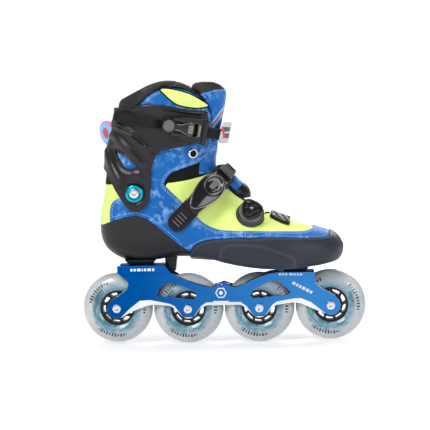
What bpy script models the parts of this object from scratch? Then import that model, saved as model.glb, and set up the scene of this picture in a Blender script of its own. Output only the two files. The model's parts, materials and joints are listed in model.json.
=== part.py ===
"""An inline skate for the right foot: a carbon slalom boot on a four-wheel aluminium frame.

+X runs to the toe, +Y to the inner (medial) side of the foot and +Z up. Sizes and places are in millimetres, and
meshes are made in metres. Everything is laid out round the wheels' middle plane, with the floor at z = 0 and x = 0
half way between the first and last axle. At the end it all moves sideways, to centre its width on y = 0.
The frame is a machined channel, the wheels run on two bearings each, and the boot is a set of shells that all
follow one lofted skin: a shell lies between two offsets of that skin and is trimmed to its outline in side view.
"""

import math

import bmesh
import bpy
import numpy as np
from mathutils import Matrix, Vector
from mathutils.bvhtree import BVHTree

MM = 0.001

SIDEWAYS_SHIFT = 6.0

# Wheels, bearings and axles
WHEEL_RADIUS = 38.0
WHEEL_HALF_WIDTH = 11.8
WHEEL_PITCH = 77.0
TYRE_STEPS = 28  # a multiple of four, so that a facet lies flat on the floor
ROCKER = 1.7  # the end wheels stand this much higher than the two middle ones
AXLE_X = [(k - 1.5) * WHEEL_PITCH for k in range(4)]
AXLE_Z = [WHEEL_RADIUS + (ROCKER if k in (0, 3) else 0.0) for k in range(4)]
HUB_RADIUS = 18.7
HUB_WINDOWS = 8
BEARING_RADIUS = 11.0
BEARING_WIDTH = 7.0
BEARING_FACE_Y = 12.0
AXLE_RADIUS = 3.95
AXLE_BORE = 4.15
AXLE_HEAD_RADIUS = 5.1
AXLE_HEAD_HEIGHT = 2.3

# Frame channel
WALL_OUTER_Y = 16.0
WALL_INNER_Y = 13.2
BOSS_INNER_Y = 12.3
EDGE_BEVEL_DEPTH = 1.8
HEEL_PLATFORM_Z = 86.6
TOE_PLATFORM_Z = 76.9
HEEL_BOLT_X = -86.0
TOE_BOLT_X = 79.0
BOLT_RADIUS = 4.0
BOLT_HEAD_RADIUS = 6.5
BLOCK_GAP = 0.4  # between a boot block and its platform

# Boot layers, as offsets outwards from the skin
SHELL_IN = -2.4
UPPER_IN = -2.2
LINER_OUT, LINER_IN = -2.9, -5.2
PADDING_OUT, PADDING_IN = -2.7, -9.0
TONGUE_OUT, TONGUE_IN = -0.6, -6.5
TONGUE_TOP_OUT, TONGUE_TOP_IN = -0.1, -9.5
BUMPER_IN, BUMPER_OUT = 0.4, 1.9
CUFF_IN, CUFF_OUT = 1.6, 4.7
INSOLE_THICKNESS = 4.0
PIVOT = (-91.0, 165.0)  # the cuff's hinge, in x and z
PIVOT_DISC = 14.0
WASHER_SEAT = 3.6  # the flat in the cuff, as an offset from the skin
THROAT_HALF_WIDTH = 17.0
SEAM_GAP = 0.5

# The skin's sections: bottom point, top point, half-width, sideways shift, height of the widest place as a share,
# and how square the section is below and above it. The sections fan round the instep from toe to shin.
SECTIONS = [
    ((127.6, 95.5), (127.9, 106.0), 14.0, 8.0, 0.50, 2.2, 2.2),
    ((123.0, 89.3), (121.5, 115.0), 28.0, 7.5, 0.48, 2.6, 2.2),
    ((112.0, 86.3), (110.0, 120.5), 38.5, 6.0, 0.44, 3.0, 2.3),
    ((94.0, 83.4), (92.0, 125.5), 45.5, 3.5, 0.40, 3.2, 2.3),
    ((72.0, 81.9), (73.0, 131.0), 49.5, 1.0, 0.36, 3.2, 2.2),
    ((48.0, 82.3), (52.0, 139.0), 51.0, -1.0, 0.33, 3.1, 2.1),
    ((24.0, 84.6), (32.0, 151.0), 48.5, -1.5, 0.32, 2.9, 2.1),
    ((0.0, 88.4), (14.0, 164.5), 44.5, -1.0, 0.34, 2.7, 2.2),
    ((-24.0, 92.8), (1.0, 179.0), 41.0, 0.0, 0.38, 2.6, 2.3),
    ((-50.0, 94.2), (-5.0, 192.0), 38.5, 0.0, 0.42, 2.7, 2.4),
    ((-74.0, 91.2), (-5.0, 201.0), 37.5, 0.0, 0.45, 2.8, 2.4),
    ((-96.0, 90.4), (-4.0, 208.0), 36.5, 0.0, 0.46, 2.7, 2.4),
    ((-112.0, 94.6), (-3.5, 213.0), 37.0, 0.0, 0.46, 2.4, 2.4),
    ((-124.0, 103.0), (-3.0, 218.0), 37.5, 0.0, 0.45, 2.3, 2.4),
    ((-130.5, 114.0), (-2.0, 223.0), 38.0, 0.0, 0.44, 2.3, 2.4),
    ((-132.3, 127.0), (-1.0, 228.0), 39.0, 0.0, 0.43, 2.3, 2.4),
    ((-131.3, 141.0), (0.0, 233.0), 40.0, 0.0, 0.42, 2.3, 2.4),
    ((-128.5, 156.0), (1.5, 239.0), 41.5, 0.0, 0.42, 2.3, 2.4),
    ((-125.5, 172.0), (3.0, 246.0), 42.5, 0.0, 0.42, 2.3, 2.4),
    ((-123.0, 190.0), (4.5, 253.0), 43.0, 0.0, 0.43, 2.3, 2.4),
    ((-120.0, 209.0), (6.0, 261.0), 44.0, 0.0, 0.44, 2.3, 2.4),
    ((-115.5, 230.0), (7.0, 269.0), 45.5, 0.0, 0.45, 2.3, 2.4),
    ((-110.5, 250.0), (6.5, 278.0), 47.5, 0.0, 0.46, 2.3, 2.4),
    ((-104.0, 279.0), (2.0, 297.0), 49.0, 0.0, 0.47, 2.3, 2.4),
]
SKIN_POINTS_ROUND = 20

# Side-view lines on the boot, each from the heel forwards
SHELL_EDGE = [
    (-127.5, 132.0),
    (-117.8, 136.1),
    (-107.1, 139.6),
    (-91.0, 142.5),
    (-77.2, 138.0),
    (-62.6, 125.5),
    (-45.9, 111.4),
    (-33.3, 102.0),
]
SHELL_TRAY_Z = 100.0
BUMPER_EDGE = [
    (-34.5, 101.0),
    (-28.6, 107.7),
    (-22.2, 111.3),
    (-6.2, 114.7),
    (52.0, 115.3),
    (110.0, 113.2),
    (116.0, 122.5),
]
COLLAR_TOP = [
    (-111.0, 257.0),
    (-107.0, 265.0),
    (-97.0, 269.6),
    (-86.0, 274.2),
    (-69.8, 280.4),
    (-53.5, 283.0),
    (-37.3, 280.4),
    (-24.0, 272.0),
    (-15.0, 262.0),
    (-10.0, 250.0),
]
CUFF_OUTLINE = [
    (-140.0, 257.0),
    (-111.0, 256.5),
    (-84.5, 257.9),
    (-74.9, 259.3),
    (-50.7, 256.7),
    (-29.6, 252.6),
    (-13.9, 250.6),
    (-13.0, 222.2),
    (-25.1, 218.2),
    (-46.4, 212.9),
    (-62.3, 209.5),
    (-70.0, 200.2),
    (-73.6, 181.2),
    (-74.5, 163.0),
    (-78.5, 152.7),
    (-84.5, 147.0),
    (-91.0, 145.5),
    (-98.0, 148.5),
    (-105.9, 160.6),
    (-111.0, 170.3),
    (-116.5, 181.5),
    (-122.5, 190.0),
    (-140.0, 190.0),
]
CUFF_WINDOW = [
    (-110.0, 211.0),
    (-100.6, 206.1),
    (-86.0, 193.1),
    (-94.6, 190.6),
    (-100.0, 192.5),
    (-107.0, 204.1),
]
COLLAR_FRONT = [(-9.5, 250.0), (-9.0, 225.0)]
HINGE_REAR_FIXED_DEG, HINGE_REAR_MOVING_DEG = 162.0, 155.0
QUARTER_FRONT_DEG = 14.0  # top edge of the fixed upper, in front of the pivot
LINER_FRONT_DEG = 25.0  # the fixed liner shows above it, as a flexible slot
FLAP_FRONT_DEG = 24.0  # lower edge of the moving flap outside the liner
PADDING_FRONT_DEG = 34.5  # lower edge of the moving padding, which clears the liner's top

# Straps and buckles. Each strap lies in a plane through Y: a point and a direction of it in x and z, then how far
# its inner face is from the skin at some angles round the boot, where 0 is the front and -90 the outer side.
ANKLE_GIRTH = ((-55.0, 236.6), (0.98, -0.2))
ANKLE_LIFT = [(-156, 6.0), (-120, 6.6), (60, 6.6), (104, 6.0)]
ANKLE_STRAP_HALF_WIDTH = 5.8
ANKLE_BUCKLE_ANGLE = -68.0
SHIN_PAD_IN, SHIN_PAD_OUT = 9.1, 10.9
INSTEP_GIRTH = ((-24.0, 155.1), (0.715, 0.699))
INSTEP_LIFT = [(-84, 6.8), (-46, 7.4), (-18, 13.6), (18, 13.6), (44, 6.5), (75, 1.8), (122, 1.1)]
INSTEP_STRAP_HALF_WIDTH = 7.2
INSTEP_BUCKLE_ANGLE = -62.0
STRAP_THICKNESS = 1.9
INSTEP_BASE_IN, INSTEP_BASE_OUT = 0.6, 4.4
PIN_RADIUS = 1.3
PIN_CLEARANCE = 0.35
KNUCKLE_RADIUS = 2.7

# Lace dial
DIAL_BASE = (31.5, -37.5, 140.5)  # on the skin, in the middle of the housing
DIAL_AXIS = (0.12, -0.86, 0.5)
DIAL_RADIUS = 14.5
SPOOL_RADIUS = 8.0
KNOB_RADIUS = 12.0

BLUE = ((0.02, 0.16, 0.62), 0.35, 1.0)
BLUE_CLOTH = ((0.03, 0.19, 0.62), 0.6, 0.0)
CARBON = ((0.012, 0.012, 0.015), 0.25, 0.0)
BLACK_PLASTIC = ((0.018, 0.018, 0.02), 0.45, 0.0)
BLACK_GLOSS = ((0.01, 0.01, 0.011), 0.15, 0.0)
BLACK_CLOTH = ((0.02, 0.02, 0.022), 0.85, 0.0)
RUBBER = ((0.025, 0.028, 0.035), 0.55, 0.0)
STEEL = ((0.75, 0.75, 0.76), 0.25, 1.0)
CYAN_METAL = ((0.02, 0.45, 0.65), 0.25, 1.0)
URETHANE = ((0.82, 0.84, 0.86), 0.35, 0.0)
WHITE_RUBBER = ((0.75, 0.76, 0.78), 0.5, 0.0)
BADGE_CYAN = ((0.1, 0.5, 0.7), 0.4, 0.0)


# ---------------------------------------------------------------- helpers
def start_clean():
    for obj in list(bpy.data.objects):
        bpy.data.objects.remove(obj)
    for name in ("inline_skate", "cutters"):
        collection = bpy.data.collections.new(name)
        bpy.context.scene.collection.children.link(collection)


def material_of(name, look):
    colour, roughness, metallic = look
    material = bpy.data.materials.new(name)
    material.use_nodes = True
    shader = material.node_tree.nodes["Principled BSDF"]
    shader.inputs["Base Color"].default_value = (*colour, 1.0)
    shader.inputs["Roughness"].default_value = roughness
    shader.inputs["Metallic"].default_value = metallic
    return material


def add_object(name, mesh, look=None):
    """Puts a mesh in the scene: a part if it has a look, and otherwise a hidden cutter."""
    obj = bpy.data.objects.new(name, mesh)
    bpy.data.collections["inline_skate" if look else "cutters"].objects.link(obj)
    if look:
        mesh.materials.clear()
        mesh.materials.append(material_of(name, look))
    else:
        obj.hide_render = True
        obj.display_type = "WIRE"
    return obj


def finish_bmesh(name, bm):
    """A mesh in metres from a bmesh in millimetres."""
    bmesh.ops.recalc_face_normals(bm, faces=bm.faces)
    bmesh.ops.scale(bm, vec=(MM, MM, MM), verts=bm.verts)
    mesh = bpy.data.meshes.new(name)
    bm.to_mesh(mesh)
    bm.free()
    return mesh


def boolean(obj, other, operation="DIFFERENCE"):
    modifier = obj.modifiers.new(other.name, "BOOLEAN")
    modifier.operation = operation
    modifier.object = other
    return obj


def bevel(obj, width, segments=1, angle=35.0):
    modifier = obj.modifiers.new("bevel", "BEVEL")
    modifier.width = width * MM
    modifier.segments = segments
    modifier.limit_method = "ANGLE"
    modifier.angle_limit = math.radians(angle)
    return obj


def as_mesh(obj, name, look=None):
    """The evaluated object as a plain mesh object, with loose caps welded."""
    bpy.context.view_layer.update()
    evaluated = obj.evaluated_get(bpy.context.evaluated_depsgraph_get())
    mesh = bpy.data.meshes.new_from_object(evaluated)
    place = obj.matrix_world.copy()
    bpy.data.objects.remove(obj)
    bm = bmesh.new()
    bm.from_mesh(mesh)
    bmesh.ops.remove_doubles(bm, verts=bm.verts, dist=1e-6)
    bmesh.ops.recalc_face_normals(bm, faces=bm.faces)
    bm.to_mesh(mesh)
    bm.free()
    made = add_object(name, mesh, look)
    made.matrix_world = place
    return made


def flat_curve(outline, half_thickness):
    """A filled 2D curve in its own XY plane, extruded both ways."""
    curve = bpy.data.curves.new("outline", "CURVE")
    curve.dimensions = "2D"
    curve.fill_mode = "BOTH"
    curve.extrude = half_thickness * MM
    spline = curve.splines.new("POLY")
    spline.points.add(len(outline) - 1)
    for point, (x, y) in zip(spline.points, outline):
        point.co = (x * MM, y * MM, 0.0, 1.0)
    spline.use_cyclic_u = True
    obj = bpy.data.objects.new("outline", curve)
    bpy.data.collections["cutters"].objects.link(obj)
    return obj


def prism(name, outline, low_y=-90.0, high_y=90.0, look=None):
    """An outline in x and z, extruded along Y."""
    obj = flat_curve(outline, (high_y - low_y) / 2)
    obj.matrix_world = Matrix.Translation((0, (low_y + high_y) / 2 * MM, 0)) @ Matrix.Rotation(math.pi / 2, 4, "X")
    return as_mesh(obj, name, look)


def plate(name, outline, low, high, place, look=None):
    """An outline in a local XY plane, between two local heights."""
    obj = flat_curve(outline, (high - low) / 2)
    obj.matrix_world = place @ Matrix.Translation((0, 0, (low + high) / 2 * MM))
    return as_mesh(obj, name, look)


def box(name, low, high, look=None, place=None):
    bm = bmesh.new()
    bmesh.ops.create_cube(bm, size=1.0)
    size = [b - a for a, b in zip(low, high)]
    bmesh.ops.scale(bm, vec=size, verts=bm.verts)
    bmesh.ops.translate(bm, vec=[(a + b) / 2 for a, b in zip(low, high)], verts=bm.verts)
    obj = add_object(name, finish_bmesh(name, bm), look)
    if place:
        obj.matrix_world = place
    return obj


def cylinder(name, radius, low, high, place, look=None, segments=24, top_radius=None):
    bm = bmesh.new()
    top = radius if top_radius is None else top_radius
    bmesh.ops.create_cone(bm, cap_ends=True, segments=segments, radius1=radius, radius2=top, depth=high - low)
    bmesh.ops.translate(bm, vec=(0, 0, (low + high) / 2), verts=bm.verts)
    obj = add_object(name, finish_bmesh(name, bm), look)
    obj.matrix_world = place
    return obj


def turned(name, profile, place, look=None, steps=32):
    """A closed profile of radius and height, turned about the local Z axis. It runs down its outer side."""
    mesh = bpy.data.meshes.new(name)
    points = [(r * MM, 0.0, h * MM) for r, h in profile]
    on_axis = profile[0][0] == 0.0 and profile[-1][0] == 0.0
    edges = [(k, (k + 1) % len(points)) for k in range(len(points) - on_axis)]
    mesh.from_pydata(points, edges, [])
    obj = add_object(name, mesh, look)
    obj.matrix_world = place
    screw = obj.modifiers.new("turn", "SCREW")
    screw.steps = screw.render_steps = steps
    screw.use_merge_vertices = True
    screw.merge_threshold = 1e-5
    screw.use_smooth_shade = True
    return obj


def joined(obj, *others):
    """Unites other solids into this one and returns it."""
    for other in others:
        boolean(obj, other, "UNION")
    return obj


def cut(obj, *others):
    for other in others:
        boolean(obj, other, "DIFFERENCE")
    return obj


def ellipse(centre, radii, count=20, turn_deg=0.0):
    turn = math.radians(turn_deg)
    made = []
    for k in range(count):
        a = 2 * math.pi * k / count
        x, y = radii[0] * math.cos(a), radii[1] * math.sin(a)
        made.append(
            (
                centre[0] + x * math.cos(turn) - y * math.sin(turn),
                centre[1] + x * math.sin(turn) + y * math.cos(turn),
            )
        )
    return made


def arc(centre, radius, start_deg, end_deg, count):
    made = []
    for k in range(count + 1):
        a = math.radians(start_deg + (end_deg - start_deg) * k / count)
        made.append((centre[0] + radius * math.cos(a), centre[1] + radius * math.sin(a)))
    return made


def stadium(length, width, centre=(0.0, 0.0), count=6):
    """A slot outline with round ends, along x."""
    half = length / 2 - width / 2
    right = arc((centre[0] + half, centre[1]), width / 2, -90, 90, count)
    left = arc((centre[0] - half, centre[1]), width / 2, 90, 270, count)
    return right + left


def across_y(x=0.0, z=0.0):
    """A place whose local Z axis is the row's -Y, so that it faces the outer side."""
    return Matrix.Translation((x * MM, 0, z * MM)) @ Matrix.Rotation(math.pi / 2, 4, "X")


# ---------------------------------------------------------------- the boot's skin
def section_points(section, count):
    (bx, bz), (tx, tz), half_width, shift, widest, square_low, square_high = section
    points = []
    for k in range(count):
        a = 2 * math.pi * k / count
        c, s = math.cos(a), math.sin(a)
        square = square_low if c > 0 else square_high
        reach = abs(c) ** (2 / square)
        t = widest * (1 - reach) if c > 0 else widest + (1 - widest) * reach
        y = shift + math.copysign(half_width * abs(s) ** (2 / square), s)
        points.append((bx + (tx - bx) * t, y, bz + (tz - bz) * t))
    return points


def skin_grid():
    return np.array([section_points(s, SKIN_POINTS_ROUND) for s in SECTIONS])


def skin_normals(grid):
    along = np.gradient(grid, axis=0)
    around = np.roll(grid, -1, axis=1) - np.roll(grid, 1, axis=1)
    normals = np.cross(along, around)
    return normals / np.linalg.norm(normals, axis=2, keepdims=True)


GRID = skin_grid()
NORMALS = skin_normals(GRID)


def skin_faces(bm, grid):
    """Rings of vertices joined by triangles. Each quad is split the same way, so that two offsets stay apart."""
    rings = [[bm.verts.new(p) for p in ring] for ring in grid]
    for low, high in zip(rings, rings[1:]):
        for k in range(len(low)):
            nxt = (k + 1) % len(low)
            bm.faces.new((low[k], low[nxt], high[nxt]))
            bm.faces.new((low[k], high[nxt], high[k]))
    return rings


def skin(name, offset, look=None, taller=0.0):
    """The skin moved outwards by an offset, as a closed solid. taller carries its top section straight up."""
    grid = GRID + NORMALS * offset
    if taller:
        grid = np.concatenate([grid, grid[-1:] + (0.0, 0.0, taller)])
    bm = bmesh.new()
    rings = skin_faces(bm, grid)
    bm.faces.new(rings[0])
    bm.faces.new(rings[-1])
    return add_object(name, finish_bmesh(name, bm), look)


def shell_between(name, inner, outer, outline, look, low_y=-90.0, high_y=90.0):
    """The part of the boot wall between two offsets that lies inside a side-view outline."""
    obj = skin(name, outer, look)
    cut(obj, skin(name + "_inner", inner, taller=30.0))
    boolean(obj, prism(name + "_outline", outline, low_y, high_y), "INTERSECT")
    return obj


def skin_tree():
    bm = bmesh.new()
    skin_faces(bm, GRID)
    bmesh.ops.recalc_face_normals(bm, faces=bm.faces)
    tree = BVHTree.FromBMesh(bm)
    bm.free()
    return tree


TREE = skin_tree()


def seat_on_skin(x, z, direction, side=-1):
    """A place on the skin at x and z whose local Z axis is the skin's normal and whose X axis follows direction."""
    origin = Vector((x, side * 200.0, z))
    point, normal, _, _ = TREE.ray_cast(origin, Vector((0, -side, 0)))
    if normal.y * side < 0:
        normal = -normal
    along = Vector(direction)
    along = (along - normal * along.dot(normal)).normalized()
    across = normal.cross(along)
    place = Matrix((along, across, normal)).transposed().to_4x4()
    place.translation = point * MM
    return place


def radial(degrees, distance):
    """A point at an angle and distance from the cuff's pivot, in side view."""
    a = math.radians(degrees)
    return (PIVOT[0] + distance * math.cos(a), PIVOT[1] + distance * math.sin(a))


# ---------------------------------------------------------------- wheels and axles
def wheel(number, x, z):
    place = across_y(x, z)
    half = WHEEL_HALF_WIDTH
    r = WHEEL_RADIUS / math.cos(math.pi / TYRE_STEPS)  # so that the flat of each facet is at the wheel's radius
    turned(
        f"tyre_{number}",
        [
            (HUB_RADIUS + 0.2, half - 2.5),
            (r - 12.0, half),
            (r - 4.0, half - 3.4),
            (r - 0.9, 4.6),
            (r, 1.8),
            (r, -1.8),
            (r - 0.9, -4.6),
            (r - 4.0, 3.4 - half),
            (r - 12.0, -half),
            (HUB_RADIUS + 0.2, 2.5 - half),
        ],
        place @ Matrix.Rotation(math.pi / TYRE_STEPS, 4, "Z"),
        URETHANE,
        steps=TYRE_STEPS,
    )
    seat = BEARING_RADIUS + 0.1
    stop = BEARING_FACE_Y - BEARING_WIDTH - 0.1
    hub = turned(
        f"hub_{number}",
        [
            (seat, BEARING_FACE_Y - 0.4),
            (seat + 1.8, BEARING_FACE_Y - 0.4),
            (HUB_RADIUS - 2.4, 9.0),
            (HUB_RADIUS, 9.0),
            (HUB_RADIUS, -9.0),
            (HUB_RADIUS - 2.4, -9.0),
            (seat + 1.8, 0.4 - BEARING_FACE_Y),
            (seat, 0.4 - BEARING_FACE_Y),
            (seat, -stop),
            (seat - 2.2, -stop),
            (seat - 2.2, stop),
            (seat, stop),
        ],
        place,
        BLACK_PLASTIC,
        steps=16,
    )
    for k in range(HUB_WINDOWS):
        angle = 2 * math.pi * (k + 0.5) / HUB_WINDOWS
        turn = place @ Matrix.Rotation(angle, 4, "Z")
        window = plate(
            f"hub_{number}_window_{k}",
            [(13.6, -1.8), (16.2, -3.6), (16.2, 3.6), (13.6, 1.8)],
            -14.0,
            14.0,
            turn,
        )
        cut(hub, window)
    for side, name in ((1, "lateral"), (-1, "medial")):
        low = BEARING_FACE_Y - BEARING_WIDTH if side > 0 else -BEARING_FACE_Y
        high = low + BEARING_WIDTH
        turned(
            f"bearing_{name}_{number}",
            [(AXLE_BORE, high), (BEARING_RADIUS, high), (BEARING_RADIUS, low), (AXLE_BORE, low)],
            place,
            STEEL,
            steps=16,
        )
    end = BEARING_FACE_Y - BEARING_WIDTH - 0.1
    turned(
        f"spacer_{number}",
        [(AXLE_BORE, end), (5.6, end), (5.6, -end), (AXLE_BORE, -end)],
        place,
        STEEL,
        steps=12,
    )
    axle(number, place)


def axle(number, place):
    """A one-piece axle: a domed head with a hex socket outside, and a plain shaft into the inner wall."""
    head = WALL_OUTER_Y + 0.3
    top = head + AXLE_HEAD_HEIGHT
    obj = turned(
        f"axle_{number}",
        [
            (0.0, top),
            (AXLE_HEAD_RADIUS - 1.2, top),
            (AXLE_HEAD_RADIUS, head + 0.8),
            (AXLE_HEAD_RADIUS, head),
            (AXLE_RADIUS, head),
            (AXLE_RADIUS, -WALL_OUTER_Y),
            (0.0, -WALL_OUTER_Y),
        ],
        place,
        STEEL,
        steps=16,
    )
    cut(obj, cylinder(f"axle_{number}_socket", 2.3, top - 2.5, top + 1, place, segments=6))


# ---------------------------------------------------------------- frame
# The wall's lower edge, rear to front: x, z of the inner lower edge, and how high the bevel outside it reaches.
WALL_LOWER = [
    (-101.4, 35.0, 4.5),
    (-90.5, 39.4, 8.4),
    (-79.5, 42.8, 5.6),
    (-68.7, 42.7, 3.6),
    (-57.8, 41.5, 2.4),
    (-52.6, 38.5, 2.4),
    (-44.5, 28.8, 1.0),
    (-32.8, 28.8, 1.0),
    (-24.6, 38.5, 2.2),
    (-18.5, 41.6, 3.2),
    (0.0, 41.6, 3.5),
    (18.5, 41.6, 3.2),
    (24.6, 38.0, 2.4),
    (32.5, 28.8, 1.0),
    (44.5, 28.8, 1.0),
    (52.6, 38.5, 2.8),
    (57.8, 41.0, 3.8),
    (76.1, 43.4, 4.4),
    (84.0, 42.0, 5.8),
    (94.0, 37.2, 6.4),
    (104.5, 32.6, 2.6),
]
WALL_UPPER = [
    (120.5, 51.0),
    (111.8, 55.6),
    (103.5, 60.3),
    (99.4, 65.5),
    (98.7, 75.4),
    (97.2, TOE_PLATFORM_Z),
    (59.5, TOE_PLATFORM_Z),
    (50.9, 76.1),
    (42.3, 73.5),
    (31.4, 69.4),
    (21.6, 64.9),
    (14.0, 61.7),
    (8.0, 62.9),
    (0.0, 65.6),
    (-8.0, 62.9),
    (-14.0, 61.7),
    (-28.0, 65.5),
    (-37.7, 68.9),
    (-48.4, 73.6),
    (-57.0, 78.8),
    (-62.7, HEEL_PLATFORM_Z),
    (-110.0, HEEL_PLATFORM_Z),
    (-112.5, 77.0),
    (-104.7, 72.2),
    (-102.2, 66.5),
    (-104.6, 60.6),
    (-111.6, 55.5),
    (-121.0, 49.8),
]
FRONT_BOSS_ARC = (-125.0, 55.0)
REAR_BOSS_ARC = (125.0, 290.0)
BOSS_RADIUS = 11.2
TOP_BEVEL = 0.9
WINDOW_REAR = [
    (-72.6, 53.2),
    (-69.8, 59.1),
    (-64.8, 64.5),
    (-59.3, 67.1),
    (-46.4, 63.6),
    (-31.4, 57.4),
    (-28.4, 53.0),
    (-31.6, 48.4),
    (-46.7, 50.1),
    (-59.7, 51.4),
]
WINDOW_FRONT = [
    (28.9, 51.5),
    (31.2, 56.4),
    (35.5, 59.6),
    (51.8, 67.2),
    (57.3, 67.8),
    (68.9, 59.0),
    (72.6, 54.5),
    (70.0, 52.0),
    (50.4, 50.1),
    (34.0, 47.8),
]


def wall_outlines():
    """The wall's outline at its inner edge, and the smaller one of its outer face inside the bevel."""
    rear, front = (AXLE_X[0], AXLE_Z[0]), (AXLE_X[3], AXLE_Z[3])
    inner, outer = [], []
    for radius, made in ((BOSS_RADIUS, inner), (BOSS_RADIUS - 0.6, outer)):
        made += arc(rear, radius, *REAR_BOSS_ARC, 7)
    for x, z, rise in WALL_LOWER:
        inner.append((x, z))
        outer.append((x, z + rise))
    for radius, made in ((BOSS_RADIUS, inner), (BOSS_RADIUS - 0.6, outer)):
        made += arc(front, radius, *FRONT_BOSS_ARC, 7)
    for x, z in WALL_UPPER:
        inner.append((x, z))
        outer.append((x, z - TOP_BEVEL))
    return inner, outer


def wall(name, side, look=None):
    """One side wall, as a loft between its inner outline and the bevelled outer face."""
    inner, outer = wall_outlines()
    depths = ((WALL_INNER_Y, inner), (WALL_OUTER_Y - EDGE_BEVEL_DEPTH, inner), (WALL_OUTER_Y, outer))
    bm = bmesh.new()
    rings = [[bm.verts.new((x, side * y, z)) for x, z in outline] for y, outline in depths]
    for low, high in zip(rings, rings[1:]):
        for k in range(len(low)):
            nxt = (k + 1) % len(low)
            bm.faces.new((low[k], low[nxt], high[nxt], high[k]))
    bm.faces.new(rings[0])
    bm.faces.new(rings[-1])
    return add_object(name, finish_bmesh(name, bm), look)


def frame():
    obj = wall("frame", -1, BLUE)
    inside = WALL_INNER_Y + 0.6
    heel_top = box("heel_bridge", (-110.5, -inside, 82.2), (-63.5, inside, HEEL_PLATFORM_Z))
    toe_top = box("toe_bridge", (59.8, -inside, 74.0), (96.8, inside, TOE_PLATFORM_Z))
    middle = box("middle_bridge", (-7.0, -inside, 61.0), (7.0, inside, 63.6))
    flanges = []
    for side, name in ((-1, "lateral"), (1, "medial")):
        low, high = sorted((side * (WALL_OUTER_Y - 1.2), side * (WALL_OUTER_Y + 1.8)))
        flange = box(f"heel_flange_{name}", (-114.3, low, 77.2), (-62.2, high, HEEL_PLATFORM_Z - 0.5))
        bevel(flange, 1.2, 2)
        flanges.append(as_mesh(flange, f"heel_flange_{name}"))
    joined(obj, wall("medial_wall", 1), heel_top, toe_top, middle, *flanges)
    for k, (x, z) in enumerate(zip(AXLE_X, AXLE_Z)):
        for side in (-1, 1):
            low, high = sorted((side * -BOSS_INNER_Y, side * -(WALL_INNER_Y + 0.5)))
            boss = cylinder(f"boss_{k}_{side}", 6.6, low, high, across_y(x, z), segments=16)
            joined(obj, boss)
        cut(obj, cylinder(f"axle_bore_{k}", AXLE_BORE, -30, 30, across_y(x, z), segments=20))
    cut(obj, prism("window_rear", WINDOW_REAR), prism("window_front", WINDOW_FRONT))
    for name, x, z in (("heel", HEEL_BOLT_X, HEEL_PLATFORM_Z), ("toe", TOE_BOLT_X, TOE_PLATFORM_Z)):
        place = Matrix.Translation((x * MM, 0, z * MM)) @ Matrix.Rotation(math.pi / 2, 4, "Z")
        cut(obj, plate(f"{name}_slot", stadium(16.0, 2 * BOLT_RADIUS + 0.6), -12.0, 6.0, place))
    return obj


def mounting_bolt(name, x, platform_z, platform_thickness):
    """A button-head bolt from under a platform up into the boot's block."""
    top = platform_z + BLOCK_GAP + 5.5
    under = platform_z - platform_thickness - 0.3
    place = Matrix.Translation((x * MM, 0, 0))
    obj = turned(
        name,
        [
            (0.0, top),
            (BOLT_RADIUS - 0.5, top),
            (BOLT_RADIUS, top - 0.5),
            (BOLT_RADIUS, under),
            (BOLT_HEAD_RADIUS, under),
            (BOLT_HEAD_RADIUS, under - 1.6),
            (BOLT_HEAD_RADIUS - 1.4, under - 3.0),
            (0.0, under - 3.0),
        ],
        place,
        STEEL,
        steps=14,
    )
    cut(obj, cylinder(name + "_socket", 2.6, under - 5, under - 1.0, place, segments=6))
    return obj


# ---------------------------------------------------------------- boot shells
def tapered_block(name, low, high, centre_x, bottom, top):
    """A mounting block: half length and half width at the bottom and at the top."""
    bm = bmesh.new()
    rings = []
    for z, (half_x, half_y) in ((low, bottom), (high, top)):
        corners = ((-1, -1), (1, -1), (1, 1), (-1, 1))
        rings.append([bm.verts.new((centre_x + a * half_x, b * half_y, z)) for a, b in corners])
    for k in range(4):
        nxt = (k + 1) % 4
        bm.faces.new((rings[0][k], rings[0][nxt], rings[1][nxt], rings[1][k]))
    bm.faces.new(rings[0])
    bm.faces.new(rings[1])
    return add_object(name, finish_bmesh(name, bm))


def boot_shell():
    outline = [(-150.0, 129.5), *SHELL_EDGE, (-20.0, SHELL_TRAY_Z), (150.0, SHELL_TRAY_Z), (150.0, 60.0), (-150.0, 60.0)]
    obj = shell_between("boot_shell", SHELL_IN, 0.0, outline, CARBON)
    heel_low = HEEL_PLATFORM_Z + BLOCK_GAP
    toe_low = TOE_PLATFORM_Z + BLOCK_GAP
    heel_block = tapered_block("heel_block", heel_low, 92.0, HEEL_BOLT_X - 3.0, (13.0, 14.0), (17.0, 20.0))
    toe_block = tapered_block("toe_block", toe_low, 84.2, TOE_BOLT_X - 1.0, (12.0, 14.0), (16.0, 20.0))
    post = tapered_block("arch_post", 78.8, 95.2, -56.5, (5.0, 8.0), (7.0, 9.0))
    joined(obj, heel_block, toe_block, post)
    for name, x, low in (("heel", HEEL_BOLT_X, heel_low), ("toe", TOE_BOLT_X, toe_low)):
        place = Matrix.Translation((x * MM, 0, 0))
        cut(obj, cylinder(f"{name}_tap", BOLT_RADIUS + 0.3, low - 2.0, low + 6.5, place, segments=18))
    return obj


def toe_bumper():
    outline = [*BUMPER_EDGE, (150.0, 122.5), (150.0, 60.0), (-34.5, 60.0)]
    obj = shell_between("toe_bumper", BUMPER_IN, BUMPER_OUT, outline, RUBBER)
    return cut(obj, box("sole_opening", (-60.0, -27.0, 60.0), (101.0, 29.0, 93.0)))


def insole():
    """A footbed that lies in the shell: the inside of the skin, cut off a few millimetres above the sole."""
    sole = [(s[0][0], s[0][1]) for s in SECTIONS[1:14]]
    rise = -LINER_OUT + INSOLE_THICKNESS
    top_line = [(x, z + rise) for x, z in sole]
    outline = [(118.0, 60.0), *[(x, z) for x, z in top_line if x < 118.0], (-124.0, 60.0)]
    obj = skin("insole", LINER_OUT, BLACK_CLOTH)
    return boolean(obj, prism("insole_outline", outline), "INTERSECT")


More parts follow.
